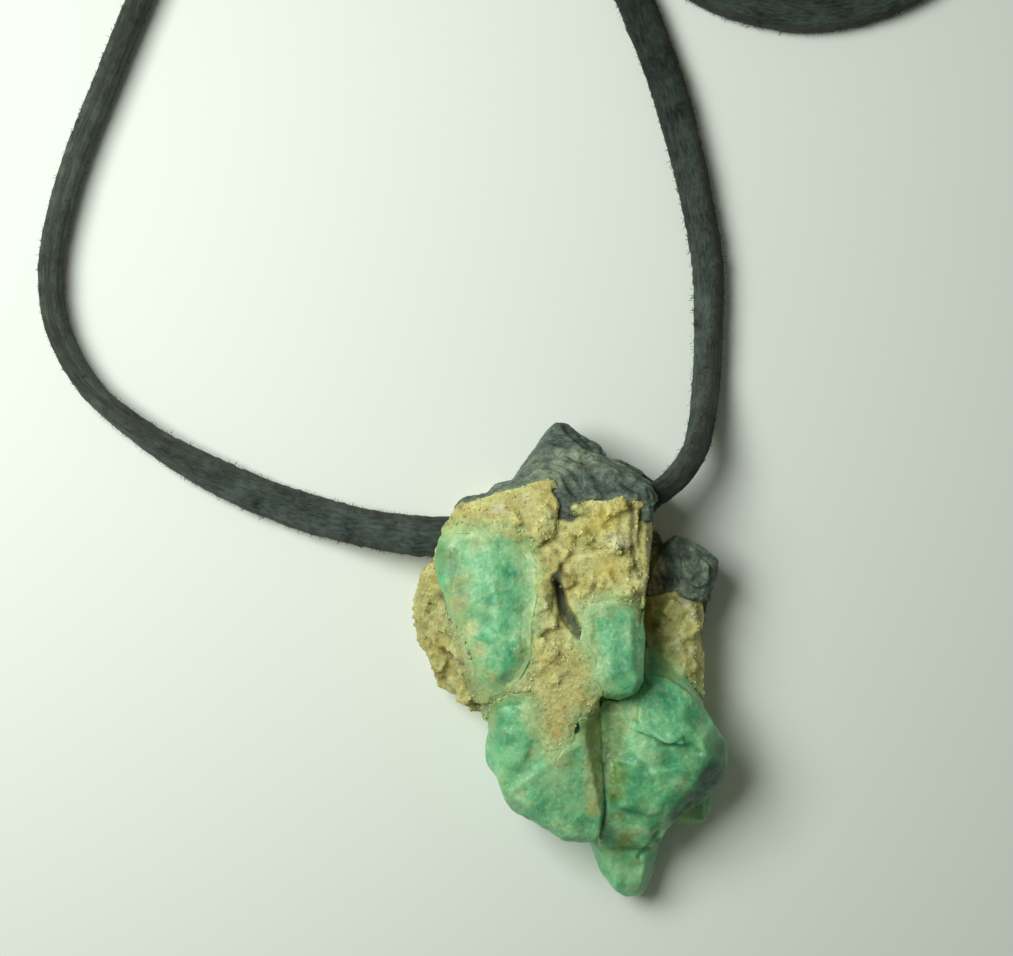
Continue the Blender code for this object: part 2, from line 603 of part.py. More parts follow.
def matrix_blocks():
    """The cream host: the main block, the terraces on its face, and the low ledges beside it."""
    main = Block(
        [(-9.7, 14.4), (-10.6, 12.9), (-11.5, 11.2), (-12.0, 9.9), (-11.8, 8.6), (-11.0, 6.0),
         (-10.2, 2.0), (-9.7, -1.2), (-8.3, -3.4), (-6.8, -5.4), (-4.0, -4.6), (1.4, -4.6),
         (3.2, -3.4), (5.6, -2.0), (6.2, 2.4), (6.3, 6.0), (6.8, 8.8), (7.2, 12.0), (7.0, 13.9),
         (5.6, 14.8), (4.0, 14.9), (1.3, 14.9), (0.4, 14.2), (0.0, 13.1), (-0.5, 14.8),
         (-1.2, 16.2), (-2.0, 16.6), (-4.0, 15.8), (-7.0, 15.0)],
        0.0, FACE_TOP,
        [(-10.7, 2.0, 8.8, 186, 60), (-9.8, -1.0, 6.6, 204, 68), (-11.1, 12.0, 10.3, 150, 48),
         (7.0, 11.0, 9.6, 2, 74), (-10.8, 12.0, 3.4, 156, 126), (6.9, 10.0, 2.6, 358, 120),
         (-2.0, -4.4, 3.0, 262, 120)],
        chips=6, depth=0.35, seed=81,
    )
    terraces = [
        Block(
            [(0.5, 14.5), (5.8, 14.4), (5.7, 10.6), (4.6, 9.9), (2.4, 10.3), (0.6, 11.6)],
            9.0, 12.2,
            [(3.0, 12.5, 12.0, 250, 3), (0.9, 12.5, 11.8, 190, 30)],
            chips=4, depth=0.25, seed=82,
        ),
        Block(
            [(-0.6, 9.4), (2.2, 10.0), (4.8, 9.7), (6.2, 8.2), (6.2, 5.9), (1.2, 5.9), (0.6, 4.2),
             (-0.4, 6.6)],
            9.0, 12.0,
            [(3.2, 7.6, 11.8, 215, 4), (5.5, 7.0, 11.5, 5, 38)],
            chips=4, depth=0.25, seed=83,
        ),
        Block(
            [(-9.0, 13.9), (-4.4, 15.2), (-1.9, 16.0), (-1.2, 14.2), (-1.6, 11.2), (-4.2, 11.5),
             (-8.6, 12.9)],
            9.0, 12.2,
            [(-4.5, 13.2, 11.85, 165, 3), (-3.4, 14.8, 11.7, 100, 12)],
            chips=5, depth=0.3, seed=84,
        ),
        Block(
            [(-2.9, 9.6), (-1.8, 10.8), (-0.9, 9.0), (-1.7, 6.4), (-2.0, 3.4), (-3.3, 2.6), (-3.0, 6.0)],
            9.0, 12.2, [(-2.2, 6.5, 11.95, 20, 5)], chips=4, depth=0.3, seed=85,
        ),
        Block(
            [(-3.4, 1.8), (-2.0, 2.4), (0.8, 2.0), (2.0, 0.6), (2.3, -1.8), (1.6, -3.0), (-1.6, -2.6),
             (-4.4, -1.4)],
            8.5, 12.0, [(-1.0, 0.2, 11.75, 265, 5)], chips=5, depth=0.3, seed=86,
        ),
        Block(
            [(-7.0, -2.0), (-4.6, -1.4), (-3.2, -2.2), (-4.6, -3.0), (-7.6, -3.2), (-8.6, -1.6),
             (-8.4, 0.0)],
            8.5, 12.0, [(-6.6, -2.2, 11.4, 215, 12)], chips=5, depth=0.3, seed=94,
        ),
    ]
    left_side = [
        Block(
            [(-12.2, 8.9), (-13.3, 8.1), (-13.7, 6.5), (-14.3, 5.1), (-14.2, 3.3), (-13.8, 1.8),
             (-12.8, 0.6), (-12.2, -1.0), (-11.8, -2.4), (-10.4, -3.0), (-8.9, -3.2), (-8.2, -3.8),
             (-7.7, -5.2), (-6.9, -5.4), (-4.0, -4.0), (-4.0, 8.0)],
            0.8, LEFT_LEDGE_TOP + 1.0,
            [(-11.0, 3.0, LEFT_LEDGE_TOP, 190, 7), (-13.4, 4.6, 4.0, 180, 42), (-12.6, 0.0, 4.0, 214, 38),
             (-13.6, 4.4, 2.6, 182, 122), (-10.8, -2.6, 2.4, 236, 124)],
            chips=7, depth=0.35, seed=88,
        ),
        Block(
            [(-11.3, 8.8), (-12.4, 6.6), (-12.2, 3.6), (-11.1, 1.2), (-9.4, 0.4), (-6.0, 2.0), (-7.0, 9.0)],
            3.0, 8.0,
            [(-10.6, 5.0, 6.4, 188, 18), (-11.6, 5.0, 5.5, 184, 50)],
            chips=5, depth=0.35, seed=89,
        ),
        Block(
            [(-11.2, 7.0), (-10.8, 3.0), (-9.8, -0.8), (-8.6, -3.2), (-5.8, -3.4), (-6.0, 7.0)],
            2.0, 11.4,
            [(-9.0, 2.0, 10.6, 190, 40), (-9.8, 2.0, 8.9, 188, 64)],
            chips=5, depth=0.35, seed=90,
        ),
    ]
    right_side = [
        Block(
            [(5.0, 6.4), (7.2, 5.7), (8.2, 6.0), (10.0, 6.5), (10.9, 6.0), (12.0, 5.3), (12.1, 3.7),
             (11.7, 2.2), (12.2, 0.1), (12.0, -3.2), (11.0, -4.6), (6.0, -4.0), (4.0, 0.0)],
            0.6, RIGHT_LEDGE_TOP + 1.4,
            [(9.6, 3.2, RIGHT_LEDGE_TOP + 0.8, 200, 7), (11.7, 1.0, 5.6, 0, 44), (10.8, -2.6, 6.0, 330, 16),
             (7.0, 3.4, 5.4, 190, 30), (11.9, 1.0, 2.6, 2, 118)],
            chips=6, depth=0.3, seed=91,
        ),
        Block(
            [(5.4, 13.4), (7.7, 13.0), (8.7, 10.4), (9.0, 8.0), (8.4, 5.4), (5.0, 5.4)],
            0.6, 4.0, [(7.4, 9.6, 3.4, 20, 16), (8.2, 10.6, 1.6, 40, 116)], chips=4, depth=0.3, seed=92,
        ),
    ]
    return [main, *terraces, *left_side, *right_side]


def dark_vein_groove():
    """The narrow groove where a dark vein has weathered out of the cream face."""
    return [
        Block(
            [(-1.5, 7.6), (-0.9, 7.2), (-0.3, 5.4), (0.9, 3.6), (1.0, 2.7), (0.3, 2.7), (-1.0, 4.2),
             (-1.2, 6.0)],
            10.8, 13.0, [],
        )
    ]


def dark_pit():
    """A small pit beside the cream tongue, where a grain has dropped out of the crystal."""
    return [Block([(-0.1, -4.7), (0.9, -4.5), (1.0, -5.7), (0.3, -6.1), (-0.3, -5.6)], 9.6, 13.0, [])]


def smooth_route(controls, spacing):
    """Points at equal steps along one smooth curve through the route's own points."""
    ends = [2 * Vector(controls[0]) - Vector(controls[1])]
    ends += [Vector(item) for item in controls]
    ends.append(2 * Vector(controls[-1]) - Vector(controls[-2]))
    fine = []
    for a, b, c, d in zip(ends, ends[1:], ends[2:], ends[3:]):
        for step in range(CURVE_STEPS):
            t = step / CURVE_STEPS
            fine.append(
                0.5 * (2 * b + (c - a) * t + (2 * a - 5 * b + 4 * c - d) * t * t
                       + (3 * b - a - 3 * c + d) * t * t * t)
            )
    fine.append(ends[-2])
    travelled = [0.0]
    for a, b in zip(fine, fine[1:]):
        travelled.append(travelled[-1] + (b - a).length)
    steps = max(2, round(travelled[-1] / spacing))
    result, at = [], 0
    for number in range(steps + 1):
        target = travelled[-1] * number / steps
        while at < len(fine) - 2 and travelled[at + 1] < target:
            at += 1
        share = (target - travelled[at]) / (travelled[at + 1] - travelled[at])
        result.append(fine[at].lerp(fine[at + 1], share))
    return result


def lace(name, controls):
    """A lace's free stretch, from inside the stone to where it reaches the coil."""
    limit = COIL_OUTER_RADIUS + LACE_RADIUS + GAP
    centre = Vector(COIL_CENTRE)
    route = smooth_route(controls, LACE_POINT_SPACING)
    route = [place for place in route if (place.xy - centre).length > limit]
    curve = bpy.data.curves.new(name, "CURVE")
    curve.dimensions = "3D"
    curve.bevel_depth = LACE_RADIUS * MM
    curve.bevel_resolution = 2
    curve.use_fill_caps = True
    spline = curve.splines.new("POLY")
    spline.points.add(len(route) - 1)
    for target, place in zip(spline.points, route):
        target.co = (*(place * MM), 1.0)
    obj = add_mesh(name, curve)
    obj.data.materials.append(finish("suede"))
    return obj


def lace_coil():
    """The wound lace as one flat turned ring."""
    middle = (COIL_INNER_RADIUS + COIL_OUTER_RADIUS) / 2
    work = bmesh.new()
    profile = [
        (COIL_OUTER_RADIUS, COIL_HEIGHT - COIL_RIM), (COIL_OUTER_RADIUS, COIL_RIM),
        (COIL_OUTER_RADIUS - COIL_RIM, 0.0), (middle, 0.0), (COIL_INNER_RADIUS + COIL_RIM, 0.0),
        (COIL_INNER_RADIUS, COIL_RIM), (COIL_INNER_RADIUS, COIL_HEIGHT - COIL_RIM),
        (COIL_INNER_RADIUS + COIL_RIM, COIL_HEIGHT), (middle, COIL_HEIGHT),
        (COIL_OUTER_RADIUS - COIL_RIM, COIL_HEIGHT),
    ]
    corners = [work.verts.new(point(radius, 0.0, height)) for radius, height in profile]
    for a, b in zip(corners, corners[1:] + corners[:1]):
        work.edges.new((a, b))
    mesh = bpy.data.meshes.new("lace_coil")
    work.to_mesh(mesh)
    work.free()
    obj = add_mesh("lace_coil", mesh)
    obj.location = point(*COIL_CENTRE)
    turn = obj.modifiers.new("turn", "SCREW")
    turn.steps = COIL_STEPS
    turn.render_steps = COIL_STEPS
    turn.use_merge_vertices = True
    turn.merge_threshold = CUT_TOLERANCE * MM
    return name_piece(obj, "lace_coil", "suede")


def lace_knot():
    """A soft overhand knot, as a rounded lump."""
    bpy.ops.mesh.primitive_cube_add(size=1.0, location=point(*KNOT_CENTRE))
    obj = bpy.context.object
    obj.data.transform(Matrix.Diagonal(Vector(KNOT_SIZE) * MM).to_4x4())
    soft = obj.modifiers.new("soft", "BEVEL")
    soft.width = KNOT_ROUNDING * MM
    soft.segments = 3
    return name_piece(obj, "lace_knot", "suede")


def build():
    for old in list(bpy.data.objects):
        bpy.data.objects.remove(old)

    crystals = {
        "emerald_upper_left": upper_left_emerald(),
        "emerald_middle": middle_emerald(),
        "emerald_lower_left": lower_left_emerald(),
        "emerald_right": right_emerald(),
        "emerald_chip": emerald_chip(),
        "schist_cap": schist_cap(),
        "schist_spur": schist_spur(),
    }
    pieces = {name: solid(blocks) for name, blocks in crystals.items()}
    wedge = cream_wedge()

    # Where two crystals meet, the later one gives way, and the host gives way to them all
    for giving, taking in (
        ("emerald_right", crystals["emerald_middle"]),
        ("emerald_right", crystals["emerald_lower_left"]),
        ("emerald_chip", crystals["emerald_right"]),
        ("emerald_lower_left", wedge),
    ):
        pieces[giving] = pocket(pieces[giving], taking)
    matrix = solid(matrix_blocks())
    for outline, count, size, seed in GRAINY_PLACES:
        matrix = grains(matrix, outline, count, size, seed)
    for outline, count, size, seed in PITTED_PLACES:
        matrix = grains(matrix, outline, count, size, seed, operation="DIFFERENCE")
    holed = "emerald_lower_left"
    pieces[holed] = boolean(pieces[holed], solid(dark_pit()), "DIFFERENCE")
    matrix = pocket(matrix, crystals[holed], open_above=True)
    matrix = boolean(matrix, solid(wedge), "UNION")
    for name, blocks in crystals.items():
        if name != holed:
            matrix = pocket(matrix, blocks, open_above=name in EXPOSED_ABOVE)
    matrix = boolean(matrix, solid(dark_vein_groove()), "DIFFERENCE")
    pieces["matrix"] = matrix
    for name in ("matrix", "schist_cap"):
        for end in (BORE_LEFT_END, BORE_RIGHT_END):
            pieces[name] = boolean(pieces[name], bore(BORE_MIDDLE, end, BORE_RADIUS), "DIFFERENCE")

    for name, piece in pieces.items():
        name_piece(without_crumbs(piece), name, MATERIAL_OF[name])

    lace("lace_left", LEFT_ROUTE)
    lace("lace_right", RIGHT_ROUTE)
    lace_coil()
    lace_knot()

    specimen = bpy.data.collections.new("emerald_specimen")
    bpy.context.scene.collection.children.link(specimen)
    for obj in list(bpy.context.scene.collection.objects):
        bpy.context.scene.collection.objects.unlink(obj)
        specimen.objects.link(obj)


build()
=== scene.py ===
# %% [markdown]
# # A rough emerald on a suede lace
#
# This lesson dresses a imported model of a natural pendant. Green crystals have grown together in
# a sugary cream feldspar, with dark schist at one end and on one side. The stone is drilled, and
# a flat suede lace runs through it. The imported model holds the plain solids. Here each of them
# gets the surface that the real thing has: broken, grainy and weathered rock, milky crystal, and
# leather with a nap.

# %% Load the solids
import json
import math

import bpy
import numpy as np
from mathutils import Matrix, Vector
from mathutils.bvhtree import BVHTree

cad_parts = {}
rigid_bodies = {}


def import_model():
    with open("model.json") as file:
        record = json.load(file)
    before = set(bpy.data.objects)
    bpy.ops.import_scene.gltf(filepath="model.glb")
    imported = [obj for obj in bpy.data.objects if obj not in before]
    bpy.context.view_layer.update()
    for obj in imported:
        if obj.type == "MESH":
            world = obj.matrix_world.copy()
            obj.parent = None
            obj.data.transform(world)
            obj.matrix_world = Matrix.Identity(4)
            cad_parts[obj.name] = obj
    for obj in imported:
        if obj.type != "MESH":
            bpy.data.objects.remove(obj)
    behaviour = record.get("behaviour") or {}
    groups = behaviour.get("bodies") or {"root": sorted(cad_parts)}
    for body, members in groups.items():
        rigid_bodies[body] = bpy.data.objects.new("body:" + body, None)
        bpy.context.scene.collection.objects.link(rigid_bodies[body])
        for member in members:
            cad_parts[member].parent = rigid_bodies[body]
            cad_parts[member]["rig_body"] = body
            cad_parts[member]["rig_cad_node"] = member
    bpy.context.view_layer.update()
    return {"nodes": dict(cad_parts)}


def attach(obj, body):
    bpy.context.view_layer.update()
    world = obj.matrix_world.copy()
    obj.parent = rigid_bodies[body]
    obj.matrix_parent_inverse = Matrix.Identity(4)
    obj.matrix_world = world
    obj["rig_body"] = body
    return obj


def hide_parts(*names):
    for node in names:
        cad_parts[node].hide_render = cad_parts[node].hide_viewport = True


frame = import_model()
MM = 0.001

# %% [markdown]
# ## Small helpers
#
# An operator works on whatever is selected, so every step begins by selecting just the one
# object that it needs. Modifiers are applied at once, because later steps read the real mesh.


# %% Select, apply, colour
def choose(*objects):
    """Select just these objects and make the first one active."""
    bpy.ops.object.select_all(action="DESELECT")
    for obj in objects:
        obj.select_set(True)
    bpy.context.view_layer.objects.active = objects[0]


def apply_modifier(piece, kind, **settings):
    """Add one modifier with these settings and apply it."""
    choose(piece)
    layer = piece.modifiers.new(kind.lower(), kind)
    for name, value in settings.items():
        setattr(layer, name, value)
    bpy.ops.object.modifier_apply(modifier=layer.name)


def colour(code):
    """An sRGB hex value as linear RGBA."""
    channels = [int(code[i : i + 2], 16) / 255 for i in (1, 3, 5)]
    return [c / 12.92 if c <= 0.04045 else ((c + 0.055) / 1.055) ** 2.4 for c in channels] + [1.0]


# %% Materials and their nodes
def new_material(name):
    """An empty Principled material, with its tree and its shader."""
    material = bpy.data.materials.new(name)
    material.use_nodes = True
    return material, material.node_tree, material.node_tree.nodes["Principled BSDF"]


def add(tree, kind, links=(), stops=(), **settings):
    """Add one node. Links are (input, source socket), stops are a ramp's (position, sRGB code), and
    each setting names a property or an input, or an input's number after "at_"."""
    node = tree.nodes.new("ShaderNode" + kind)
    for name, value in settings.items():
        if hasattr(node, name):
            setattr(node, name, value)
        else:
            socket = int(name[3:]) if name.startswith("at_") else name.replace("_", " ")
            node.inputs[socket].default_value = value
    for position, _ in stops[2:]:
        node.color_ramp.elements.new(position)
    for number, (position, code) in enumerate(stops):
        element = node.color_ramp.elements[number]
        element.position, element.color = position, colour(code)
    for socket, source in links:
        tree.links.new(source, node.inputs[socket])
    return node


def set_surface(tree, shader, base=None, normal=None, **constants):
    """Link the shader's colour and normal, and set the constants on its own sockets."""
    for socket, source in (("Base Color", base), ("Normal", normal)):
        if source:
            tree.links.new(source, shader.inputs[socket])
    for name, value in constants.items():
        shader.inputs[name.replace("_", " ")].default_value = value


bpy.ops.object.select_all(action="DESELECT")
scene = bpy.context.scene
scene.view_settings.view_transform = "Standard"

# %% [markdown]
# ## Camera, light and floor
#
# The photograph looks straight down from close by. The long lens keeps the stone's height from
# spreading its outline. One broad lamp stands close at the upper left, so the floor fades
# towards the lower right and the shadows fall softly that way. A pale world fills them.

# %% Camera, light and floor
EYE = (-5.63, 16.5, 190.0)  # mm
FILM_WIDTH = 36.0  # mm
LENS = 72.92  # mm
FLOOR_SIZE = 1.6  # m
LAMP_PLACE = (-100.0, 64.0, 156.0)
LAMP_WIDTH = 110.0
LAMP_POWER = 0.37  # watts
SKY_STRENGTH = 0.13

bpy.ops.object.camera_add(location=Vector(EYE) * MM, rotation=(0.0, 0.0, 0.0))
camera = bpy.context.object
camera.data.sensor_width = FILM_WIDTH
camera.data.lens = LENS
camera.data.clip_start = 0.01
scene.camera = camera

aim = (-Vector(LAMP_PLACE)).to_track_quat("-Z", "Y").to_euler()
bpy.ops.object.light_add(type="AREA", location=Vector(LAMP_PLACE) * MM, rotation=aim)
lamp = bpy.context.object
lamp.data.size = LAMP_WIDTH * MM
lamp.data.energy = LAMP_POWER
lamp.data.color = (0.97, 1.0, 0.94)

sky = bpy.data.worlds.new("pale room")
sky.use_nodes = True
background = sky.node_tree.nodes["Background"]
background.inputs["Color"].default_value = colour("#F5F4DF")
background.inputs["Strength"].default_value = SKY_STRENGTH
scene.world = sky

bpy.ops.mesh.primitive_plane_add(size=FLOOR_SIZE, location=(0.0, 0.0, 0.0))
floor = bpy.context.object
floor.name = "floor"
paper, tree, shader = new_material("pale matt board")
set_surface(tree, shader, Base_Color=colour("#E9EFEA"), Roughness=0.8, Specular_IOR_Level=0.2)
floor.data.materials.append(paper)
print("The camera is", EYE[2], "mm up, and the lamp's middle", LAMP_PLACE[2], "mm")

# %% [markdown]
# ## The lace's route
#
# The lace is one suede strip about 3.3 mm wide and 2 mm thick. It is drawn as two stretches that
# meet inside the drilled hole. Each one leaves a mouth of the hole, comes down on to the floor
# and wanders off in a loose curve. The rest of its length is wound in a flat double spiral, both
# stretches side by side, and the two ends are tied in a knot inside the turns.

# %% Route points, in mm
STRIP_WIDTH = 3.3
STRIP_THICKNESS = 2.0
COIL_CENTRE = Vector((20.8, 78.8))
TURN_PITCH = 6.8  # two strips side by side, with a hair between them
KNOT_PLACE = Vector((19.6, 71.9, 2.6))
LYING = STRIP_THICKNESS / 2 + 0.02  # the height of the strip's middle where it lies flat

LEFT_ROUTE = [
    (-1.9, 11.6, 5.6), (-7.0, 11.4, 5.5), (-11.9, 11.2, 5.2), (-16.4, 11.6, 3.6), (-21.8, 12.7, 1.7),
    (-27.4, 14.5, LYING), (-32.9, 17.0, LYING), (-38.4, 20.2, LYING), (-43.7, 24.6, LYING),
    (-46.8, 30.1, LYING), (-47.5, 35.6, LYING), (-46.6, 41.1, LYING), (-44.9, 46.7, LYING),
    (-42.7, 52.2, LYING), (-40.2, 58.4, LYING), (-36.8, 66.0, LYING), (-31.2, 75.2, LYING),
    (-22.4, 85.0, LYING), (-9.0, 94.2, LYING), (5.0, 99.9, LYING),
]
RIGHT_ROUTE = [
    (-1.1, 11.7, 5.6), (3.4, 13.4, 5.7), (7.8, 15.1, 5.8), (10.0, 16.9, 5.2), (11.5, 19.2, 4.2),
    (12.2, 21.8, 2.8), (12.7, 25.0, 1.6), (12.9, 29.0, LYING), (12.9, 35.6, LYING), (12.0, 41.4, LYING),
    (10.8, 46.7, LYING), (9.3, 52.2, LYING), (7.3, 57.7, LYING), (4.9, 63.0, LYING), (1.6, 68.1, LYING),
    (-0.2, 73.2, LYING),
]
# The last stretch of each, from the innermost turn into the knot
LEFT_END = [
    (34.6, 74.9, LYING), (31.8, 71.1, LYING), (27.6, 68.9, LYING), (23.4, 68.9, 1.4), (20.6, 70.3, 2.2),
]
RIGHT_END = [(31.2, 75.5, LYING), (28.6, 72.9, LYING), (25.2, 72.0, 1.3), (21.6, 72.3, 2.4)]


# %% From points to smooth routes
def spiral(start_angle, start_radius, turns):
    """The turns of one stretch, clockwise and inwards, 14 points to a turn."""
    count = round(14 * turns)
    points = []
    for number in range(count + 1):
        turned = turns * number / count
        radius = start_radius - TURN_PITCH * turned
        angle = math.radians(start_angle - 360 * turned)
        place = COIL_CENTRE + radius * Vector((math.cos(angle), math.sin(angle)))
        points.append((place.x, place.y, LYING))
    return points


def smooth_route(controls, spacing):
    """Points at equal steps along one smooth curve through the route's own points, in mm."""
    ends = [2 * Vector(controls[0]) - Vector(controls[1])]
    ends += [Vector(item) for item in controls]
    ends.append(2 * Vector(controls[-1]) - Vector(controls[-2]))
    fine = []
    for a, b, c, d in zip(ends, ends[1:], ends[2:], ends[3:]):
        for step in range(20):
            t = step / 20
            fine.append(
                0.5 * (2 * b + (c - a) * t + (2 * a - 5 * b + 4 * c - d) * t * t
                       + (3 * b - a - 3 * c + d) * t * t * t)
            )
    fine.append(ends[-2])
    travelled = np.concatenate(([0.0], np.cumsum([(b - a).length for a, b in zip(fine, fine[1:])])))
    wanted = np.linspace(0.0, travelled[-1], max(2, round(travelled[-1] / spacing)) + 1)
    return np.column_stack([np.interp(wanted, travelled, [p[axis] for p in fine]) for axis in range(3)])


STRIP_STEP = 0.45
left_path = smooth_route(LEFT_ROUTE + spiral(90, 23.1, 1.25) + LEFT_END, STRIP_STEP)
right_path = smooth_route(RIGHT_ROUTE + spiral(180, 21.4, 1.5) + RIGHT_END, STRIP_STEP)


def length_of(path):
    return float(np.linalg.norm(np.diff(path, axis=0), axis=1).sum())


print("The stretches are", round(length_of(left_path)), "and", round(length_of(right_path)), "mm long")

# %% [markdown]
# ## Suede
#
# Suede is split leather with its fibres brushed up. It has no shine, and its colour drifts with
# the way the nap lies: brown-black here, with a slightly warmer, lighter tone on the cut edges.
# A sheen lobe gives the soft light rim that a nap has. The fibres themselves are mesh, and the
# finest ones are a bump.

# %% Suede material
def per(size):
    """A texture's scale for features of this size in mm."""
    return 1 / (size * MM)


suede, tree, shader = new_material("brushed suede")
where = add(tree, "Attribute", attribute_name="grain").outputs["Vector"]
streaks = add(tree, "Mapping", [(0, where)], Scale=(0.3, 1.0, 1.0)).outputs[0]
drift = add(tree, "TexNoise", [("Vector", where)], Scale=per(2.4), Detail=4.0).outputs["Fac"]
nap = add(tree, "TexNoise", [("Vector", streaks)], Scale=per(0.28), Detail=4.0, Roughness=0.6)
nap = nap.outputs["Fac"]
both = add(tree, "Math", [(0, drift), (1, nap)], operation="ADD").outputs[0]
half = add(tree, "Math", [(0, both)], operation="MULTIPLY", at_1=0.5).outputs[0]
tone = add(tree, "ValToRGB", [("Fac", half)], [(0.36, "#1C2321"), (0.64, "#4A544F")]).outputs["Color"]
edges = add(tree, "Attribute", attribute_name="edge").outputs["Fac"]
warm = add(tree, "Mix", [(0, edges), (6, tone)], data_type="RGBA", at_7=colour("#3A352C")).outputs[2]
worn = add(tree, "Attribute", attribute_name="worn").outputs["Fac"]
paled = add(tree, "Mix", [(6, warm), (7, worn)], data_type="RGBA", blend_type="MULTIPLY", at_0=1.0)
fuzz = add(tree, "Bump", [("Height", nap)], Strength=0.8, Distance=0.12 * MM).outputs["Normal"]
set_surface(tree, shader, paled.outputs[2], fuzz, Roughness=0.95, Specular_IOR_Level=0.15, Sheen_Weight=0.3,
            Sheen_Roughness=0.5, Sheen_Tint=colour("#8E9992"))
print("Suede nap: streaks of 0.28 mm on a drift of 2.4 mm")

# %% [markdown]
# ## The strip itself
#
# A strip is a flat section carried along a path. A curve object with a bevel profile would do
# it, but here the section is lofted, so that its edges can wander a little and each ring knows
# which way is up. The wide side lies level, except where the lace turns on to its edge. Short
# fibres are then stood on it, thickest along its two cut edges, each one a sliver with four faces.

# %% The strip's section and directions
SECTION_CORNER = 0.7
FIBRES_PER_MM = 34
FIBRE_THICKNESS = 0.032


def section_points(width):
    """The strip's section: a rectangle with round corners, as (across, up) in mm."""
    a, b = width / 2 - SECTION_CORNER, STRIP_THICKNESS / 2 - SECTION_CORNER
    points = []
    for sx, sy, start in ((1, 1, 0), (-1, 1, 90), (-1, -1, 180), (1, -1, 270)):
        for step in range(4):
            turn = math.radians(start + 30 * step)
            across, up = SECTION_CORNER * math.cos(turn), SECTION_CORNER * math.sin(turn)
            points.append((sx * a + across, sy * b + up))
        if sx == sy:
            points += [(sx * a * share, sy * STRIP_THICKNESS / 2) for share in (0.5, 0.0, -0.5)]
    return np.array(points)


def turned_frames(path, rolls):
    """For each point of a path: the strip's directions across and up, rolled about the path."""
    ahead = np.gradient(path, axis=0)
    ahead /= np.linalg.norm(ahead, axis=1)[:, None]
    across = np.cross(ahead, (0.0, 0.0, 1.0))
    across /= np.linalg.norm(across, axis=1)[:, None]
    up = np.cross(across, ahead)
    cos, sin = np.cos(rolls)[:, None], np.sin(rolls)[:, None]
    return cos * across + sin * up, cos * up - sin * across


def resting(path, widths, rolls):
    """The same path, lifted where the rolled strip would sink into the surface."""
    half_height = (
        (widths / 2 - SECTION_CORNER) * np.abs(np.sin(rolls))
        + (STRIP_THICKNESS / 2 - SECTION_CORNER) * np.abs(np.cos(rolls)) + SECTION_CORNER
    )
    lifted = path.copy()
    lifted[:, 2] = np.maximum(path[:, 2], half_height + 0.02)
    return lifted


# %% The rings of the strip
def unit(vectors):
    """The same directions with a length of 1."""
    return vectors / np.linalg.norm(vectors, axis=1)[:, None]


def strip_rings(path, sections, across, up, dice):
    """The corners of every ring. The edges wander slowly and each corner is a little off."""
    rings, ring_size = sections.shape[:2]
    knots = np.arange(0, rings + 12, 12)
    slow = np.interp(np.arange(rings), knots, dice.normal(0, 1, len(knots)))
    side = sections[..., 0] * (1 + 0.03 * slow + 0.012 * dice.normal(0, 1, rings))[:, None]
    side += 0.035 * dice.normal(0, 1, (rings, ring_size)) * np.sign(sections[..., 0])
    rise = sections[..., 1] * (1 + 0.025 * dice.normal(0, 1, (rings, ring_size)))
    corners = path[:, None, :] + side[..., None] * across[:, None, :] + rise[..., None] * up[:, None, :]
    corners[..., 2] = np.maximum(corners[..., 2], 0.01)
    return corners.reshape(-1, 3)


def ring_faces(rings, ring_size):
    """Faces between the rings, and one to close each end."""
    ring, spot = np.meshgrid(np.arange(rings - 1), np.arange(ring_size), indexing="ij")
    after = (spot + 1) % ring_size
    here, there = ring * ring_size, (ring + 1) * ring_size
    quads = np.stack([here + spot, here + after, there + after, there + spot], axis=-1)
    first = list(range(ring_size))
    return quads.reshape(-1, 4).tolist() + [first[::-1], [(rings - 1) * ring_size + spot for spot in first]]


# %% The fibres of the nap
def stand_fibres(path, widths, across, up, dice):
    """The nap: most fibres stand along the two edges, the rest lie over the flat side."""
    count = int(length_of(path) * FIBRES_PER_MM)
    at = dice.uniform(1, len(path) - 2, count)
    whole = at.astype(int)
    part = (at - whole)[:, None]
    middle = path[whole] * (1 - part) + path[whole + 1] * part
    on_edge = dice.random(count) < 0.6
    turn = np.where(on_edge, dice.normal(0, 0.5, count) + np.where(dice.random(count) < 0.5, 0.0, math.pi),
                    dice.uniform(0.35, math.pi - 0.35, count))
    out = np.cos(turn)[:, None] * across[whole] + np.sin(turn)[:, None] * up[whole]
    half_width, half_thickness = widths[whole] / 2, STRIP_THICKNESS / 2
    reach = 1 / np.maximum(np.abs(np.cos(turn)) / half_width, np.abs(np.sin(turn)) / half_thickness)
    root = middle + out * (reach * 0.93)[:, None]
    long_way = unit(path[whole + 1] - path[whole])
    lean = dice.normal(0, 0.8, (count, 1)) * long_way + dice.normal(0, 0.35, (count, 3))
    direction = unit(out * np.where(on_edge, 1.0, 0.3)[:, None] + lean)
    tip = root + direction * (dice.uniform(0.2, 0.6, count) * np.where(on_edge, 1.0, 0.75))[:, None]
    first = unit(np.cross(direction, dice.normal(0, 1, (count, 3))))
    second = np.cross(direction, first)
    base = [
        root + FIBRE_THICKNESS * (math.cos(angle) * first + math.sin(angle) * second)
        for angle in (0.0, 2.094, 4.189)
    ]
    slivers = np.stack([*base, tip], axis=1).reshape(-1, 3)
    slivers[:, 2] = np.maximum(slivers[:, 2], np.tile([0.004, 0.008, 0.012, 0.02], count))
    return slivers, at, reach, on_edge


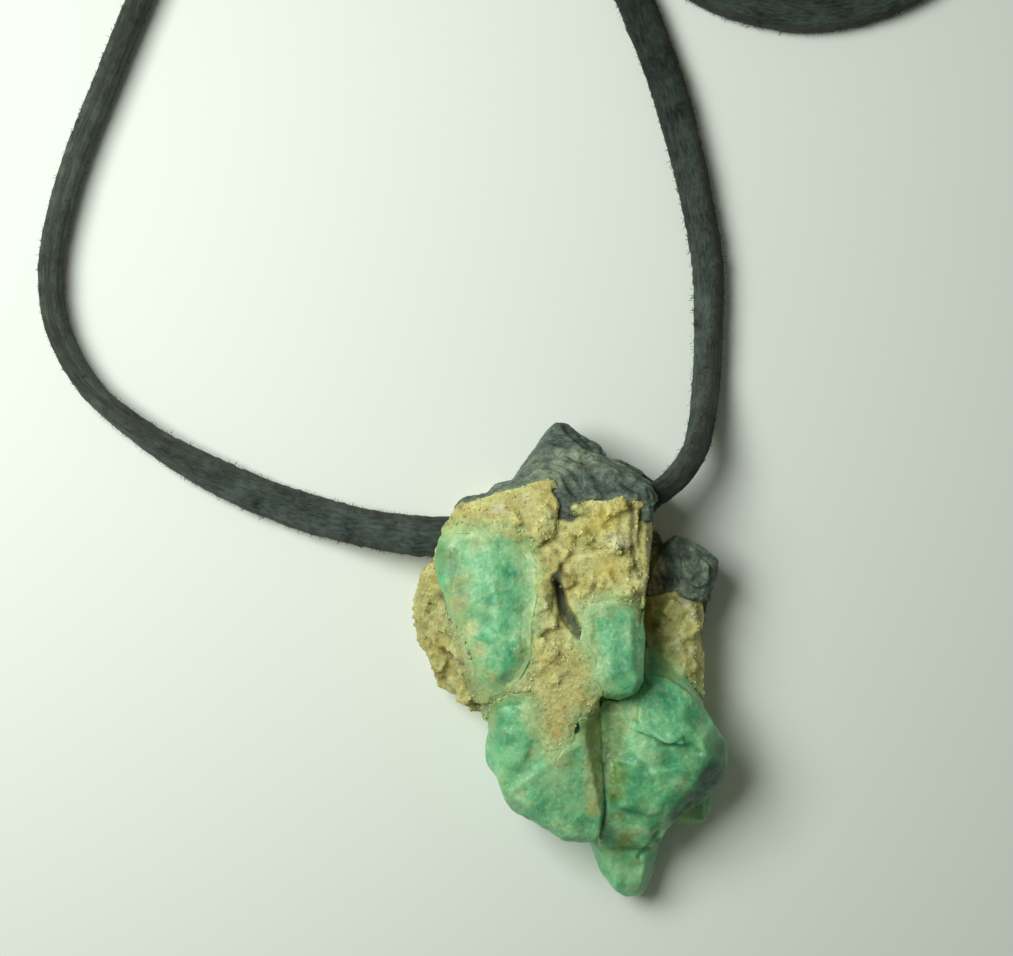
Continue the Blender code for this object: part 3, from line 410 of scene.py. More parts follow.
# %% One stretch of strip
def strip(name, path, seed, widths, rolls, worn):
    """One stretch of suede strip, closed at both ends, with its nap."""
    dice = np.random.default_rng(seed)
    across, up = turned_frames(path, rolls)
    sections = np.stack([section_points(width) for width in widths])
    rings, ring_size = sections.shape[:2]
    skin = strip_rings(path, sections, across, up, dice)
    slivers, at, reach, on_edge = stand_fibres(path, widths, across, up, dice)
    faces = ring_faces(rings, ring_size)
    start = len(skin) + 4 * np.arange(len(at))
    for a, b, c in ((0, 2, 1), (0, 1, 3), (1, 2, 3), (2, 0, 3)):
        faces += np.stack([start + a, start + b, start + c], axis=1).tolist()
    mesh = bpy.data.meshes.new(name)
    mesh.from_pydata((np.concatenate([skin, slivers]) * MM).tolist(), [], faces)
    mesh.shade_smooth()
    mesh.materials.append(suede)
    piece = bpy.data.objects.new(name, mesh)
    scene.collection.objects.link(piece)

    edge = (np.abs(sections[..., 0]) > widths[:, None] / 2 - 0.45) * 0.3
    keep(piece, "edge", np.concatenate([edge.ravel(), np.repeat(on_edge * 0.7, 4)]))
    keep(piece, "worn", np.concatenate([np.repeat(worn, ring_size), np.repeat(worn[at.astype(int)], 4)]))
    girth = np.concatenate(([0.0], np.cumsum(np.linalg.norm(np.diff(sections[0], axis=0), axis=1))))
    on_ring = np.meshgrid(np.arange(rings) * STRIP_STEP, girth, indexing="ij")
    grain = np.stack([*on_ring, np.zeros((rings, ring_size))], axis=-1).reshape(-1, 3)
    along = np.repeat(np.stack([at * STRIP_STEP, reach, np.zeros(len(at))], axis=1), 4, axis=0)
    flow = mesh.attributes.new("grain", "FLOAT_VECTOR", "POINT")
    flow.data.foreach_set("vector", (np.concatenate([grain, along]) * MM).astype(np.float32).ravel())
    return piece


def keep(piece, name, values):
    """Store one number for each vertex, for a material to read."""
    marks = piece.data.attributes.new(name, "FLOAT", "POINT")
    marks.data.foreach_set("value", np.asarray(values, np.float32))


# %% Loft the two stretches
def along_path(path, marks):
    """A value for each point of a path, from (distance in mm, value) marks."""
    distances, values = zip(*marks)
    return np.interp(np.arange(len(path)) * STRIP_STEP, distances, values)


# The strip leaves the left mouth flat and a little wide, turns on to its edge for the far leg,
# and lies flat again before the coil. The right one leaves the stone on its edge. The nap is
# worn paler where the lace has been handled.
STRIPS = {  # its route, its random seed, then the width in mm, the roll in degrees and the wear along it
    "suede_lace_left": (
        left_path, 11,
        [(0, 3.5), (22, 3.5), (34, 3.1), (50, 3.0)],
        [(0, 0), (20, 2), (30, 24), (38, 66), (46, 88), (100, 88), (112, 40), (125, 0)],
        [(0, 0.95), (12, 1.15), (30, 1.4), (58, 1.35), (66, 1.8), (76, 1.5), (88, 1.0)],
    ),
    "suede_lace_right": (
        right_path, 12,
        [(0, 3.0), (9, 2.4), (18, 2.5), (30, 2.8), (55, 3.3)],
        [(0, 30), (9, 78), (16, 72), (24, 60), (34, 34), (50, 10), (62, 0)],
        [(0, 1.0), (17, 1.2), (25, 1.5), (42, 1.0), (53, 0.68), (60, 0.5), (90, 1.0)],
    ),
}
laces = []
for name, (path, seed, width_marks, roll_marks, worn_marks) in STRIPS.items():
    widths = along_path(path, width_marks)
    rolls = np.radians(along_path(path, roll_marks))
    path = resting(path, widths, rolls)
    laces.append((strip(name, path, seed, widths, rolls, along_path(path, worn_marks)), path))
(lace_left, left_path), (lace_right, right_path) = laces
print("Faces in the laces:", len(lace_left.data.polygons), len(lace_right.data.polygons))

# %% [markdown]
# ## The knot
#
# Both ends are tied together in one overhand knot. Its strip runs along a trefoil, the closed
# form of that knot, pressed to a low lump, and two short tails stick out of it.

# %% Tie the knot
KNOT_SPAN = Vector((2.35, 1.45, 1.15))


def trefoil(count=150):
    """Points of a trefoil round the knot's middle, closed on itself, in mm."""
    points = []
    for number in range(count + 1):
        t = 2 * math.pi * number / count
        x = math.sin(t) + 2 * math.sin(2 * t)
        y = math.cos(t) - 2 * math.cos(2 * t)
        z = -math.sin(3 * t)
        points.append(KNOT_PLACE + Vector((x * KNOT_SPAN.x / 2.2, y * KNOT_SPAN.y / 2.2, z * KNOT_SPAN.z)))
    return np.array(points)


TAILS = [
    [(19.2, 71.7, 2.4), (15.6, 71.4, 1.5), (12.8, 69.9, LYING), (10.4, 68.8, LYING)],
    [(19.2, 72.3, 2.4), (15.8, 73.9, 1.5), (13.6, 76.1, LYING), (11.9, 78.5, LYING)],
]
knot_parts = []
for seed, path in enumerate([trefoil(), *(smooth_route(tail, STRIP_STEP) for tail in TAILS)], start=21):
    even = np.ones(len(path))
    knot_parts.append(strip("knot", path, seed, STRIP_WIDTH * even, 0 * even, even))
choose(*knot_parts)
bpy.ops.object.join()
knot = bpy.context.object
knot.name = "suede_knot"

for piece, node in ((lace_left, "lace_left"), (lace_right, "lace_right"), (knot, "lace_knot")):
    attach(piece, "root")
    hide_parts(node)
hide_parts("lace_coil")
print("The knot has", len(knot.data.polygons), "faces")

# %% [markdown]
# ## From a plain solid to rock
#
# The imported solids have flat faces, as a block has after the first blows of a chisel. Real rock
# is rough at every size. Each piece is made from a copy of its solid: the copy's loose triangles
# are merged, a voxel remesh gives it an even skin of small faces, and a little smoothing takes
# off the arrises. Where it meets a neighbour, the skin is pushed out past the gap that the solids
# keep, so that crystal and host grow into each other as they do in nature.

# %% Read and move a piece's vertices
SOLID_GAP = 0.3  # mm, between two solids that touch
JOINT_SWELL = 0.27  # mm, past half of the gap, so the two skins cross
SKIN_SWELL = 0.06
STONES = (
    "matrix", "schist_cap", "schist_spur", "emerald_upper_left", "emerald_middle",
    "emerald_lower_left", "emerald_right", "emerald_chip",
)
EMERALDS = STONES[3:]


def read_vertices(piece, what):
    """Three numbers for each vertex, as an array."""
    flat = np.empty(len(piece.data.vertices) * 3, np.float32)
    piece.data.vertices.foreach_get(what, flat)
    return flat.reshape(-1, 3).astype(float)


def verts_of(piece):
    """The piece's vertices, in mm."""
    return read_vertices(piece, "co") / MM


def normals_of(piece):
    """The direction in which each vertex looks."""
    return read_vertices(piece, "normal")


def move_to(piece, spots):
    """Move the piece's vertices to these places, in mm."""
    piece.data.vertices.foreach_set("co", (spots * MM).astype(np.float32).ravel())
    piece.data.update()


def push(piece, amounts):
    """Move each vertex along its normal, by its own amount in mm."""
    move_to(piece, verts_of(piece) + normals_of(piece) * np.asarray(amounts)[:, None])


# %% Copy and remesh a solid
def distance_to(piece, nodes, reach):
    """Each vertex's distance in mm to the nearest of these solids, up to reach."""
    best = np.full(len(piece.data.vertices), float(reach))
    for node in nodes:
        solid = frame["nodes"][node].data
        tree = BVHTree.FromPolygons([v.co for v in solid.vertices], [p.vertices for p in solid.polygons])
        for number, vertex in enumerate(piece.data.vertices):
            found = tree.find_nearest(vertex.co, best[number] * MM)
            if found[0] is not None:
                best[number] = found[3] / MM
    return best


def fade(distances, reach):
    """1 at a contact, 0 at this reach."""
    return np.clip((reach - distances) / (reach - SOLID_GAP), 0, 1)


def rough_copy(node, name, voxel, soften, grown_to):
    """A finely meshed copy of one solid, grown into the nodes that it has grown together with."""
    choose(frame["nodes"][node])
    bpy.ops.object.duplicate()
    piece = bpy.context.object
    piece.name = name
    piece.parent = None
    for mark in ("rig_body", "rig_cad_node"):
        del piece[mark]
    piece.data.materials.clear()
    bpy.ops.object.mode_set(mode="EDIT")
    bpy.ops.mesh.select_all(action="SELECT")
    bpy.ops.mesh.remove_doubles(threshold=0.002 * MM)
    bpy.ops.object.mode_set(mode="OBJECT")
    apply_modifier(piece, "REMESH", mode="VOXEL", voxel_size=voxel * MM, adaptivity=0.0)
    apply_modifier(piece, "SMOOTH", factor=0.5, iterations=soften)
    push(piece, SKIN_SWELL + JOINT_SWELL * fade(distance_to(piece, grown_to, 1.0), 1.0))
    return piece


# %% [markdown]
# Where crystal and host have grown together there is no groove between them. So the height of the
# whole stone is drawn on a grid, the narrow grooves in it are closed, and the skins on both sides
# of each joint are drawn to that common height.

# %% Level the joints
CELL = 0.15  # mm, one square of the height grid
MAP_CORNER = np.array([-17.0, -23.0])
MAP_CELLS = (215, 310)
GROOVE = 4  # cells to each side that are closed
BLUR = 10  # rounds of averaging
PIT = np.array([0.45, -5.45])  # a small open hollow between host and crystal, with a rough bottom
PIT_REACH = 1.0
PIT_DEPTH = 0.55
print("The height map spans", [round(cells * CELL, 1) for cells in MAP_CELLS], "mm")


def widest(grid, reach, pick):
    """The greatest or the least height within this many cells of each cell."""
    best = grid.copy()
    for over in range(-reach, reach + 1):
        for up in range(-reach, reach + 1):
            if over * over + up * up <= reach * reach:
                best = pick(best, np.roll(grid, (over, up), (0, 1)))
    return best


def height_map(pieces):
    """The stone's height in mm seen from above, with its narrow grooves closed."""
    grid = np.zeros(MAP_CELLS)
    for piece in pieces:
        spots = verts_of(piece)[normals_of(piece)[:, 2] > 0]
        cells = np.round((spots[:, :2] - MAP_CORNER) / CELL).astype(int)
        np.maximum.at(grid, (cells[:, 0], cells[:, 1]), spots[:, 2])
    grid = widest(widest(grid, GROOVE, np.maximum), GROOVE, np.minimum)
    filled = (grid > 0).astype(float)
    for _ in range(BLUR):
        grid, filled = (
            sum(np.roll(values, shift, axis) for shift in (-1, 0, 1) for axis in (0, 1)) / 6
            for values in (grid, filled)
        )
    return grid / np.maximum(filled, 0.01)


def level_joint(piece, others, grid, reach=1.6):
    """Draw the skin near these solids to the common height, where it is close to it already."""
    spots = verts_of(piece)
    at = (spots[:, :2] - MAP_CORNER) / CELL
    cell = np.floor(at).astype(int)
    part = at - cell
    height = sum(
        grid[cell[:, 0] + over, cell[:, 1] + up]
        * np.abs(1 - over - part[:, 0]) * np.abs(1 - up - part[:, 1])
        for over in (0, 1) for up in (0, 1)
    )
    lift = height - spots[:, 2]
    share = fade(distance_to(piece, others, reach), reach) * (normals_of(piece)[:, 2] > -0.2)
    share = np.clip(1.6 * share, 0, 1) * np.clip((1.0 - lift) / 0.4, 0, 1) * (lift > -0.5)
    spots[:, 2] += share * lift
    in_pit = np.linalg.norm(spots[:, :2] - PIT, axis=1) < PIT_REACH
    in_pit &= (height - spots[:, 2] < 4.0) & (spots[:, 2] > 4.0)
    spots[in_pit, 2] = np.maximum(spots[in_pit, 2], height[in_pit] - PIT_DEPTH)
    move_to(piece, spots)


# %% [markdown]
# Relief is added in layers, from the broad lumps down to the grain, with displace modifiers. An
# empty carries each texture, because its scale and turn set the size and the lie of the grain. It
# is removed once the modifier is applied.

# %% Relief and wear
def relief(piece, kind, height, stretch, turn=(0, 0, 0), **settings):
    """Raise and sink the skin along its normals by a texture. Stretch is a feature's size in mm."""
    bpy.ops.object.select_all(action="DESELECT")
    bpy.ops.object.empty_add(location=(0, 0, 0), rotation=[math.radians(a) for a in turn])
    grain = bpy.context.object
    grain.scale = Vector(stretch) * MM
    bpy.context.view_layer.update()
    texture = bpy.data.textures.new("relief", kind)
    texture.noise_scale = 1.0
    for name, value in settings.items():
        setattr(texture, name, value)
    apply_modifier(
        piece, "DISPLACE", texture=texture, texture_coords="OBJECT", texture_coords_object=grain,
        strength=height * MM, mid_level=0.5,
    )
    bpy.data.objects.remove(grain)


def dabs(piece, touches, highest=99.0, lowest=-99.0):
    """Soft round brush marks seen from above: each is (x, y, radius, amount) in mm."""
    spots = verts_of(piece)
    total = np.zeros(len(spots))
    for x, y, radius, amount in touches:
        near = np.clip(1 - np.hypot(spots[:, 0] - x, spots[:, 1] - y) / radius, 0, 1)
        total = np.maximum(total, amount * near * near * (3 - 2 * near))
    total *= np.clip(0.5 + 1.3 * normals_of(piece)[:, 2], 0.25, 1)
    return np.where((spots[:, 2] < highest) & (spots[:, 2] > lowest), total, 0.0)


def wear(piece, touches, rounds=60):
    """Smooth the skin further inside soft round marks."""
    if not touches:
        return
    group = piece.vertex_groups.new(name="worn")
    for number, amount in enumerate(np.minimum(dabs(piece, touches), 1.0)):
        if amount > 0.01:
            group.add([number], float(amount), "REPLACE")
    apply_modifier(piece, "SMOOTH", factor=0.5, iterations=rounds, vertex_group="worn")
    piece.vertex_groups.remove(piece.vertex_groups["worn"])


# %% Lines and hollows
def near_line(piece, line, width):
    """1 on a line seen from above, falling to 0 at this distance in mm."""
    spots = verts_of(piece)[:, :2]
    best = np.full(len(spots), 99.0)
    for first, last in zip(np.array(line[:-1]), np.array(line[1:])):
        along = last - first
        share = np.clip((spots - first) @ along / (along @ along), 0, 1)
        best = np.minimum(best, np.linalg.norm(spots - first - share[:, None] * along, axis=1))
    return np.clip(1 - best / width, 0, 1) * (normals_of(piece)[:, 2] > 0.1)


def hollows(piece, rounds, full):
    """How deep each vertex lies below its surroundings: 1 at this depth in mm, -1 on a ridge."""
    ends = np.empty(len(piece.data.edges) * 2, np.int32)
    piece.data.edges.foreach_get("vertices", ends)
    first, second = ends[0::2], ends[1::2]
    places = verts_of(piece)
    count = len(places)
    share = np.bincount(first, minlength=count) + np.bincount(second, minlength=count)
    smooth = places.copy()
    for _ in range(rounds):
        total = [
            np.bincount(first, line[second], count) + np.bincount(second, line[first], count)
            for line in smooth.T
        ]
        smooth = (total / share).T
    depth = ((smooth - places) * normals_of(piece)).sum(axis=1)
    return np.clip(depth / full, -1, 1)


# %% [markdown]
# All eight skins are made now, before any relief goes on. The crystals are worn smooth. Then each
# joint between crystal and host is drawn level.

# %% Make the skins
SKINS = {  # the voxel in mm, and the rounds of smoothing: worn crystals get the most
    "matrix": (0.185, 4), "schist_cap": (0.125, 1), "schist_spur": (0.11, 1),
    "emerald_upper_left": (0.115, 22), "emerald_middle": (0.1, 18), "emerald_lower_left": (0.115, 28),
    "emerald_right": (0.13, 22), "emerald_chip": (0.1, 6),
}
TWINS = {"emerald_lower_left": "emerald_right", "emerald_right": "emerald_lower_left"}
WORN = {
    "matrix": [
        (-1.6, 0.4, 2.4, 1.0), (-6.4, -1.6, 2.6, 1.0), (-3.6, 1.4, 1.6, 1.0), (-1.1, 15.5, 1.0, 1.2),
        (0.9, 14.6, 1.0, 1.2),
    ],
    "emerald_lower_left": [(-4.6, -7.6, 3.4, 1.4)],
    "emerald_right": [
        (6.2, -11.4, 3.8, 1.4), (6.0, -8.6, 2.6, 1.2), (8.6, -4.4, 2.2, 0.7), (5.2, -16.4, 2.4, 1.6),
    ],
    "emerald_upper_left": [(-6.3, -0.2, 2.8, 1.4)],
}
rocks = {}
for node, (voxel, soften) in SKINS.items():
    name = "feldspar_host" if node == "matrix" else node.replace("emerald", "crystal")
    rocks[node] = rough_copy(node, name, voxel, soften, EMERALDS if node == "matrix" else ("matrix",))
    wear(rocks[node], WORN.get(node, []))
    if node in TWINS:
        push(rocks[node], 0.15 * fade(distance_to(rocks[node], (TWINS[node],), 1.0), 1.0))
stone_map = height_map(rocks.values())
level_joint(rocks["matrix"], EMERALDS, stone_map)
for node in EMERALDS:
    level_joint(rocks[node], ("matrix",), stone_map)
print("Faces:", {piece.name: len(piece.data.polygons) for piece in rocks.values()})

# %% [markdown]
# ## Feldspar
#
# The host is feldspar with a little mica: cream, opaque and sugary, stained yellow by iron where
# water could reach it. Its grains are blocky and each stands at its own height, so the relief is
# Voronoi cells at two sizes, between soft broad lumps and a fine crumb. Brush marks then place what
# the eye finds on this stone: the yellow plateaus, brown specks, pale ledges and the dark vein.

# %% Shape the host
matrix = rocks["matrix"]
relief(matrix, "CLOUDS", 0.13, (2.4, 2.4, 2.4), noise_depth=1)
relief(matrix, "VORONOI", 0.04, (1.3, 1.0, 1.0), (20, 30, 40), color_mode="POSITION_OUTLINE")
relief(matrix, "VORONOI", 0.06, (0.6, 0.5, 0.5), (50, 10, 15), color_mode="POSITION")
relief(matrix, "CLOUDS", 0.09, (0.34, 0.34, 0.34), noise_depth=1)
VEIN = [
    (-0.8, 8.7), (-1.1, 8.1), (-1.3, 7.4), (-1.0, 6.6), (-0.8, 5.6), (-0.4, 4.7), (0.2, 3.9), (0.7, 3.0),
]
CURVED_STEP = [(-4.4, -0.7), (-4.0, 0.0), (-3.2, 0.4), (-2.3, 0.5), (-1.3, 0.3), (-0.5, -0.1), (0.3, -0.9)]
LEDGE_STEP = [(1.8, 10.2), (2.6, 10.35), (3.6, 10.3), (4.8, 10.15), (5.4, 10.4)]
WALL_LINE = [(5.3, 14.2), (5.4, 12.6), (5.3, 11.0), (5.5, 9.4), (6.0, 7.9)]
STEPS = ((WALL_LINE, 0.2, 0.35), (VEIN, 0.16, 0.6), (CURVED_STEP, 0.12, 0.35), (LEDGE_STEP, 0.14, 0.3))
push(matrix, -sum(depth * near_line(matrix, line, width) for line, depth, width in STEPS))
print("The host has", len(matrix.data.polygons), "faces")

# %% [markdown]
# Where the colours of the host lie is marked on the mesh, as with a soft brush from above. Each
# mark is (x, y, radius, amount) in mm. A stored mark stays on its place in every view, and the
# material can break up its edge.

# %% Mark the host's colours
PLATEAUS = [
    (2.9, 12.9, 2.2, 0.9), (1.6, 12.0, 1.6, 0.7), (3.4, 8.6, 2.6, 0.7), (2.6, 7.0, 2.0, 0.5),
    (-1.6, 14.2, 1.8, 0.5), (-7.4, 12.9, 1.6, 0.35), (0.4, 1.2, 2.2, 0.3), (3.0, -3.2, 1.6, 0.8),
    (1.0, -2.4, 1.6, 0.5), (-1.2, -5.6, 1.8, 0.5), (-1.0, -3.6, 1.4, 0.4), (8.2, 0.2, 1.4, 0.8),
    (10.9, -1.4, 1.6, 0.8), (-11.6, 1.6, 1.6, 0.6), (-10.4, 4.2, 1.8, 0.5), (-9.6, -1.6, 1.6, 0.6),
]
PALE_PLACES = [
    (3.6, 11.0, 1.5, 0.8), (4.6, 10.9, 1.1, 0.8), (-6.2, 13.9, 1.4, 0.7), (-4.2, 14.8, 1.2, 0.5),
    (6.9, 12.6, 1.2, 0.9), (7.0, 10.2, 1.2, 0.9), (-13.2, 5.6, 1.4, 0.5), (-12.6, 7.9, 1.2, 0.5),
    (10.4, 5.6, 1.5, 0.9), (11.2, 4.2, 1.2, 0.8), (9.4, 2.2, 1.3, 0.6), (10.9, 1.0, 1.2, 0.6),
    (3.9, -2.9, 0.7, 0.7), (-2.7, -4.4, 1.0, 0.4), (5.0, 6.2, 1.3, 0.4),
]
BROWN_SPECKS = [
    (-4.6, 10.9, 0.9, 0.6), (-3.2, 10.1, 0.7, 0.6), (-2.3, 9.4, 0.6, 0.5), (-1.3, 10.1, 0.5, 0.9),
    (-2.6, 11.4, 0.9, 0.5), (-0.5, 8.1, 0.45, 1.0), (-0.9, 8.8, 0.45, 0.9), (-2.7, 5.5, 0.6, 0.6),
    (-2.2, 7.0, 0.7, 0.5), (1.3, 9.4, 0.6, 0.6), (3.0, 9.4, 0.6, 0.4), (-11.4, 5.9, 0.9, 0.8),
    (-10.5, 4.0, 0.5, 0.9), (-12.4, 4.0, 0.7, 0.6), (-11.8, 1.9, 0.6, 0.7), (-9.6, 0.2, 0.8, 0.7),
    (-10.2, -1.0, 0.7, 0.6), (-12.9, 2.0, 0.5, 0.7), (7.7, 3.3, 1.1, 0.8), (8.2, 1.0, 0.7, 0.6),
    (9.2, 0.9, 0.5, 0.7), (8.9, -0.3, 0.5, 0.8), (11.2, -3.4, 0.9, 0.7), (8.2, 5.2, 0.7, 0.5),
    (3.4, -3.8, 0.5, 0.6), (0.9, -4.2, 0.5, 0.5), (-8.4, -4.2, 0.8, 0.6),
]
FALLEN_SHADE = [(8.2, 10.8, 1.9, 1.2), (7.8, 12.8, 1.4, 0.8)]  # painted shade beside the right wall
# Where the dark schist shows through in the notch at the top, and the ledges that are made duller and
# darker
TONGUE = [(-0.9, 15.2, 0.9, 1.6), (0.8, 14.6, 0.8, 1.5), (-0.1, 13.3, 1.1, 1.5), (-0.2, 14.5, 0.9, 1.6)]
DULLER_LEDGES = [(-12.0, 4.0, 5.0, 1.0), (-9.8, -1.0, 4.5, 1.0), (0.6, -4.6, 2.6, 0.4), (-5.0, -3.0, 2.0, 0.4)]
for name, marks in (("yellow", PLATEAUS), ("pale", PALE_PLACES), ("brown", BROWN_SPECKS)):
    keep(matrix, name, dabs(matrix, marks))
# The depth of each hollow drives painted shade in the hollows and painted light on the ridges.
keep(matrix, "painted_hollow_shade", hollows(matrix, 6, 0.13))
keep(matrix, "green", fade(distance_to(matrix, EMERALDS, 2.4), 2.4) * 0.62)
# This mark holds the dark vein, the schist's edge and the notch, and also painted shade beside the right
# wall and in the crack along it.
keep(matrix, "dark_rock_and_shade", np.maximum.reduce([
    fade(distance_to(matrix, STONES[1:3], 0.9), 0.9) * 0.55,
    dabs(matrix, FALLEN_SHADE, highest=7.5),
    near_line(matrix, WALL_LINE, 0.5) * 0.7,
    dabs(matrix, TONGUE),
    near_line(matrix, VEIN[1:], 0.7) ** 0.5,
]))
print("Marks on the host:", len(PLATEAUS) + len(PALE_PLACES) + len(BROWN_SPECKS))

# %% [markdown]
# Sugar grains are small cleavage blocks of feldspar that catch the light one at a time. Here they
# are cubes, each pulled a little out of true and set deep in the skin, at random places that look
# up or outwards. One mesh holds them all, since thousands of objects would be slow.

# %% Scatter sugar grains
GRAIN_COUNT = 4200
GRAIN_SIZES = (0.16, 0.42)  # mm, the least and the most
BORE_HEIGHT = 5.5
BORE_REACH = 2.6  # mm around the drilled hole stay free of grains
dice = np.random.default_rng(5)
skin, outward = verts_of(matrix), normals_of(matrix)
free = (distance_to(matrix, STONES[1:], 0.8) > 0.55) & (near_line(matrix, VEIN, 1.1) == 0)
bore_line = 11.6 + 0.37 * np.maximum(skin[:, 0] + 1.5, 0)
in_bore = (np.abs(skin[:, 2] - BORE_HEIGHT) < BORE_REACH) & (np.abs(skin[:, 1] - bore_line) < BORE_REACH)
usable = np.nonzero(free & ~in_bore & (skin[:, 2] > 0.7) & (outward[:, 2] > -0.5))[0]
chosen = dice.choice(usable, GRAIN_COUNT, replace=False)
cube = np.array([(x, y, z) for x in (-0.5, 0.5) for y in (-0.5, 0.5) for z in (-0.5, 0.5)])
cube_faces = [(0, 1, 3, 2), (4, 6, 7, 5), (0, 4, 5, 1), (2, 3, 7, 6), (0, 2, 6, 4), (1, 5, 7, 3)]
corners, faces, tints = [], [], []
for number, vertex in enumerate(chosen):
    size = GRAIN_SIZES[0] + (GRAIN_SIZES[1] - GRAIN_SIZES[0]) * dice.random() ** 2
    shape = np.diag(size * dice.uniform(0.6, 1.0, 3))
    turn = np.array(Matrix.Rotation(dice.uniform(0, 6.28), 3, Vector(dice.normal(0, 1, 3))))
    place = skin[vertex] - outward[vertex] * size * dice.uniform(0.22, 0.42)
    block = (cube * dice.uniform(0.8, 1.0, (8, 1))) @ shape @ turn.T + place
    corners.append(block)
    faces += [tuple(8 * number + corner for corner in face) for face in cube_faces]
    tints += [dice.uniform(0.25, 0.75) - 0.25 * (place[0] < -8.5)] * 8
mesh = bpy.data.meshes.new("feldspar_grains")
mesh.from_pydata((np.concatenate(corners) * MM).tolist(), [], faces)
grains = bpy.data.objects.new("feldspar_grains", mesh)
scene.collection.objects.link(grains)
mesh.update()
for name in ("yellow", "pale", "brown", "dark_rock_and_shade", "green"):
    source = np.empty(len(skin), np.float32)
    matrix.data.attributes[name].data.foreach_get("value", source)
    keep(grains, name, np.repeat(source[chosen], 8) * (0.55 if name in ("dark_rock_and_shade", "brown") else 1.0))
keep(grains, "tint", tints)
# The grains stand proud, so this mark gives them a little painted light.
keep(grains, "painted_hollow_shade", np.full(8 * GRAIN_COUNT, -0.35))
# The host is made darker on these ledges.
keep(matrix, "tint", 0.5 - 0.45 * np.minimum(dabs(matrix, DULLER_LEDGES) * 1.6, 1.0))
print("Grains:", GRAIN_COUNT)

# %% [markdown]
# ## Emerald
#
# This is emerald in the rough: cloudy, milky and full of small fractures, so hardly any light
# goes through it. Its faces are worn flat with soft arrises, pitted and scarred, and cracks run
# across the largest crystal. The marks place its deep, milky, creamy and stained zones.

# %% Shape the crystals
crystals = {node: rocks[node] for node in EMERALDS}
for piece in crystals.values():
    relief(piece, "CLOUDS", 0.26, (2.0, 2.8, 2.0), noise_depth=1)
    relief(piece, "VORONOI", 0.05, (1.1, 1.6, 1.1), (15, 25, 20), color_mode="POSITION_OUTLINE")
    relief(piece, "CLOUDS", 0.08, (0.5, 0.8, 0.5), (0, 20, 30), noise_depth=2)

RIGHT_CRACK = [
    (5.6, -4.9), (6.5, -5.7), (7.2, -6.3), (8.0, -6.8), (8.7, -7.1), (9.9, -6.4), (10.5, -6.8),
    (11.4, -7.6),
]
LOW_CRACK = [(3.5, -14.2), (3.9, -14.8), (4.7, -15.5), (5.6, -15.7)]
SIDE_FISSURE = [(6.4, -17.6), (6.9, -17.0), (7.3, -16.3), (7.9, -15.2)]
HIGH_CRACK = [(7.9, -2.4), (9.4, -2.9)]
MIDDLE_CRACK = [(5.4, -8.0), (6.8, -9.0), (7.4, -10.2)]
EDGE_NICK = [(-4.9, -3.6), (-4.4, -4.0)]
CRACKS = ((RIGHT_CRACK, 0.19, 0.38), (LOW_CRACK, 0.06, 0.4), (SIDE_FISSURE, 0.25, 0.45),
          (HIGH_CRACK, 0.12, 0.3), (MIDDLE_CRACK, 0.12, 0.3))  # each with its depth and width in mm
right = crystals["emerald_right"]
push(right, -sum(depth * near_line(right, line, width) for line, depth, width in CRACKS))
lower_left = crystals["emerald_lower_left"]
RIDGE = [(0.9, -6.7), (-1.0, -7.7), (-2.4, -8.8), (-3.6, -9.8), (-5.0, -10.8)]
raised, nicked = near_line(lower_left, RIDGE, 0.6), near_line(lower_left, EDGE_NICK, 0.25)
push(lower_left, 0.1 * raised - 0.14 * nicked)
print("Faces:", {piece.name: len(piece.data.polygons) for piece in crystals.values()})
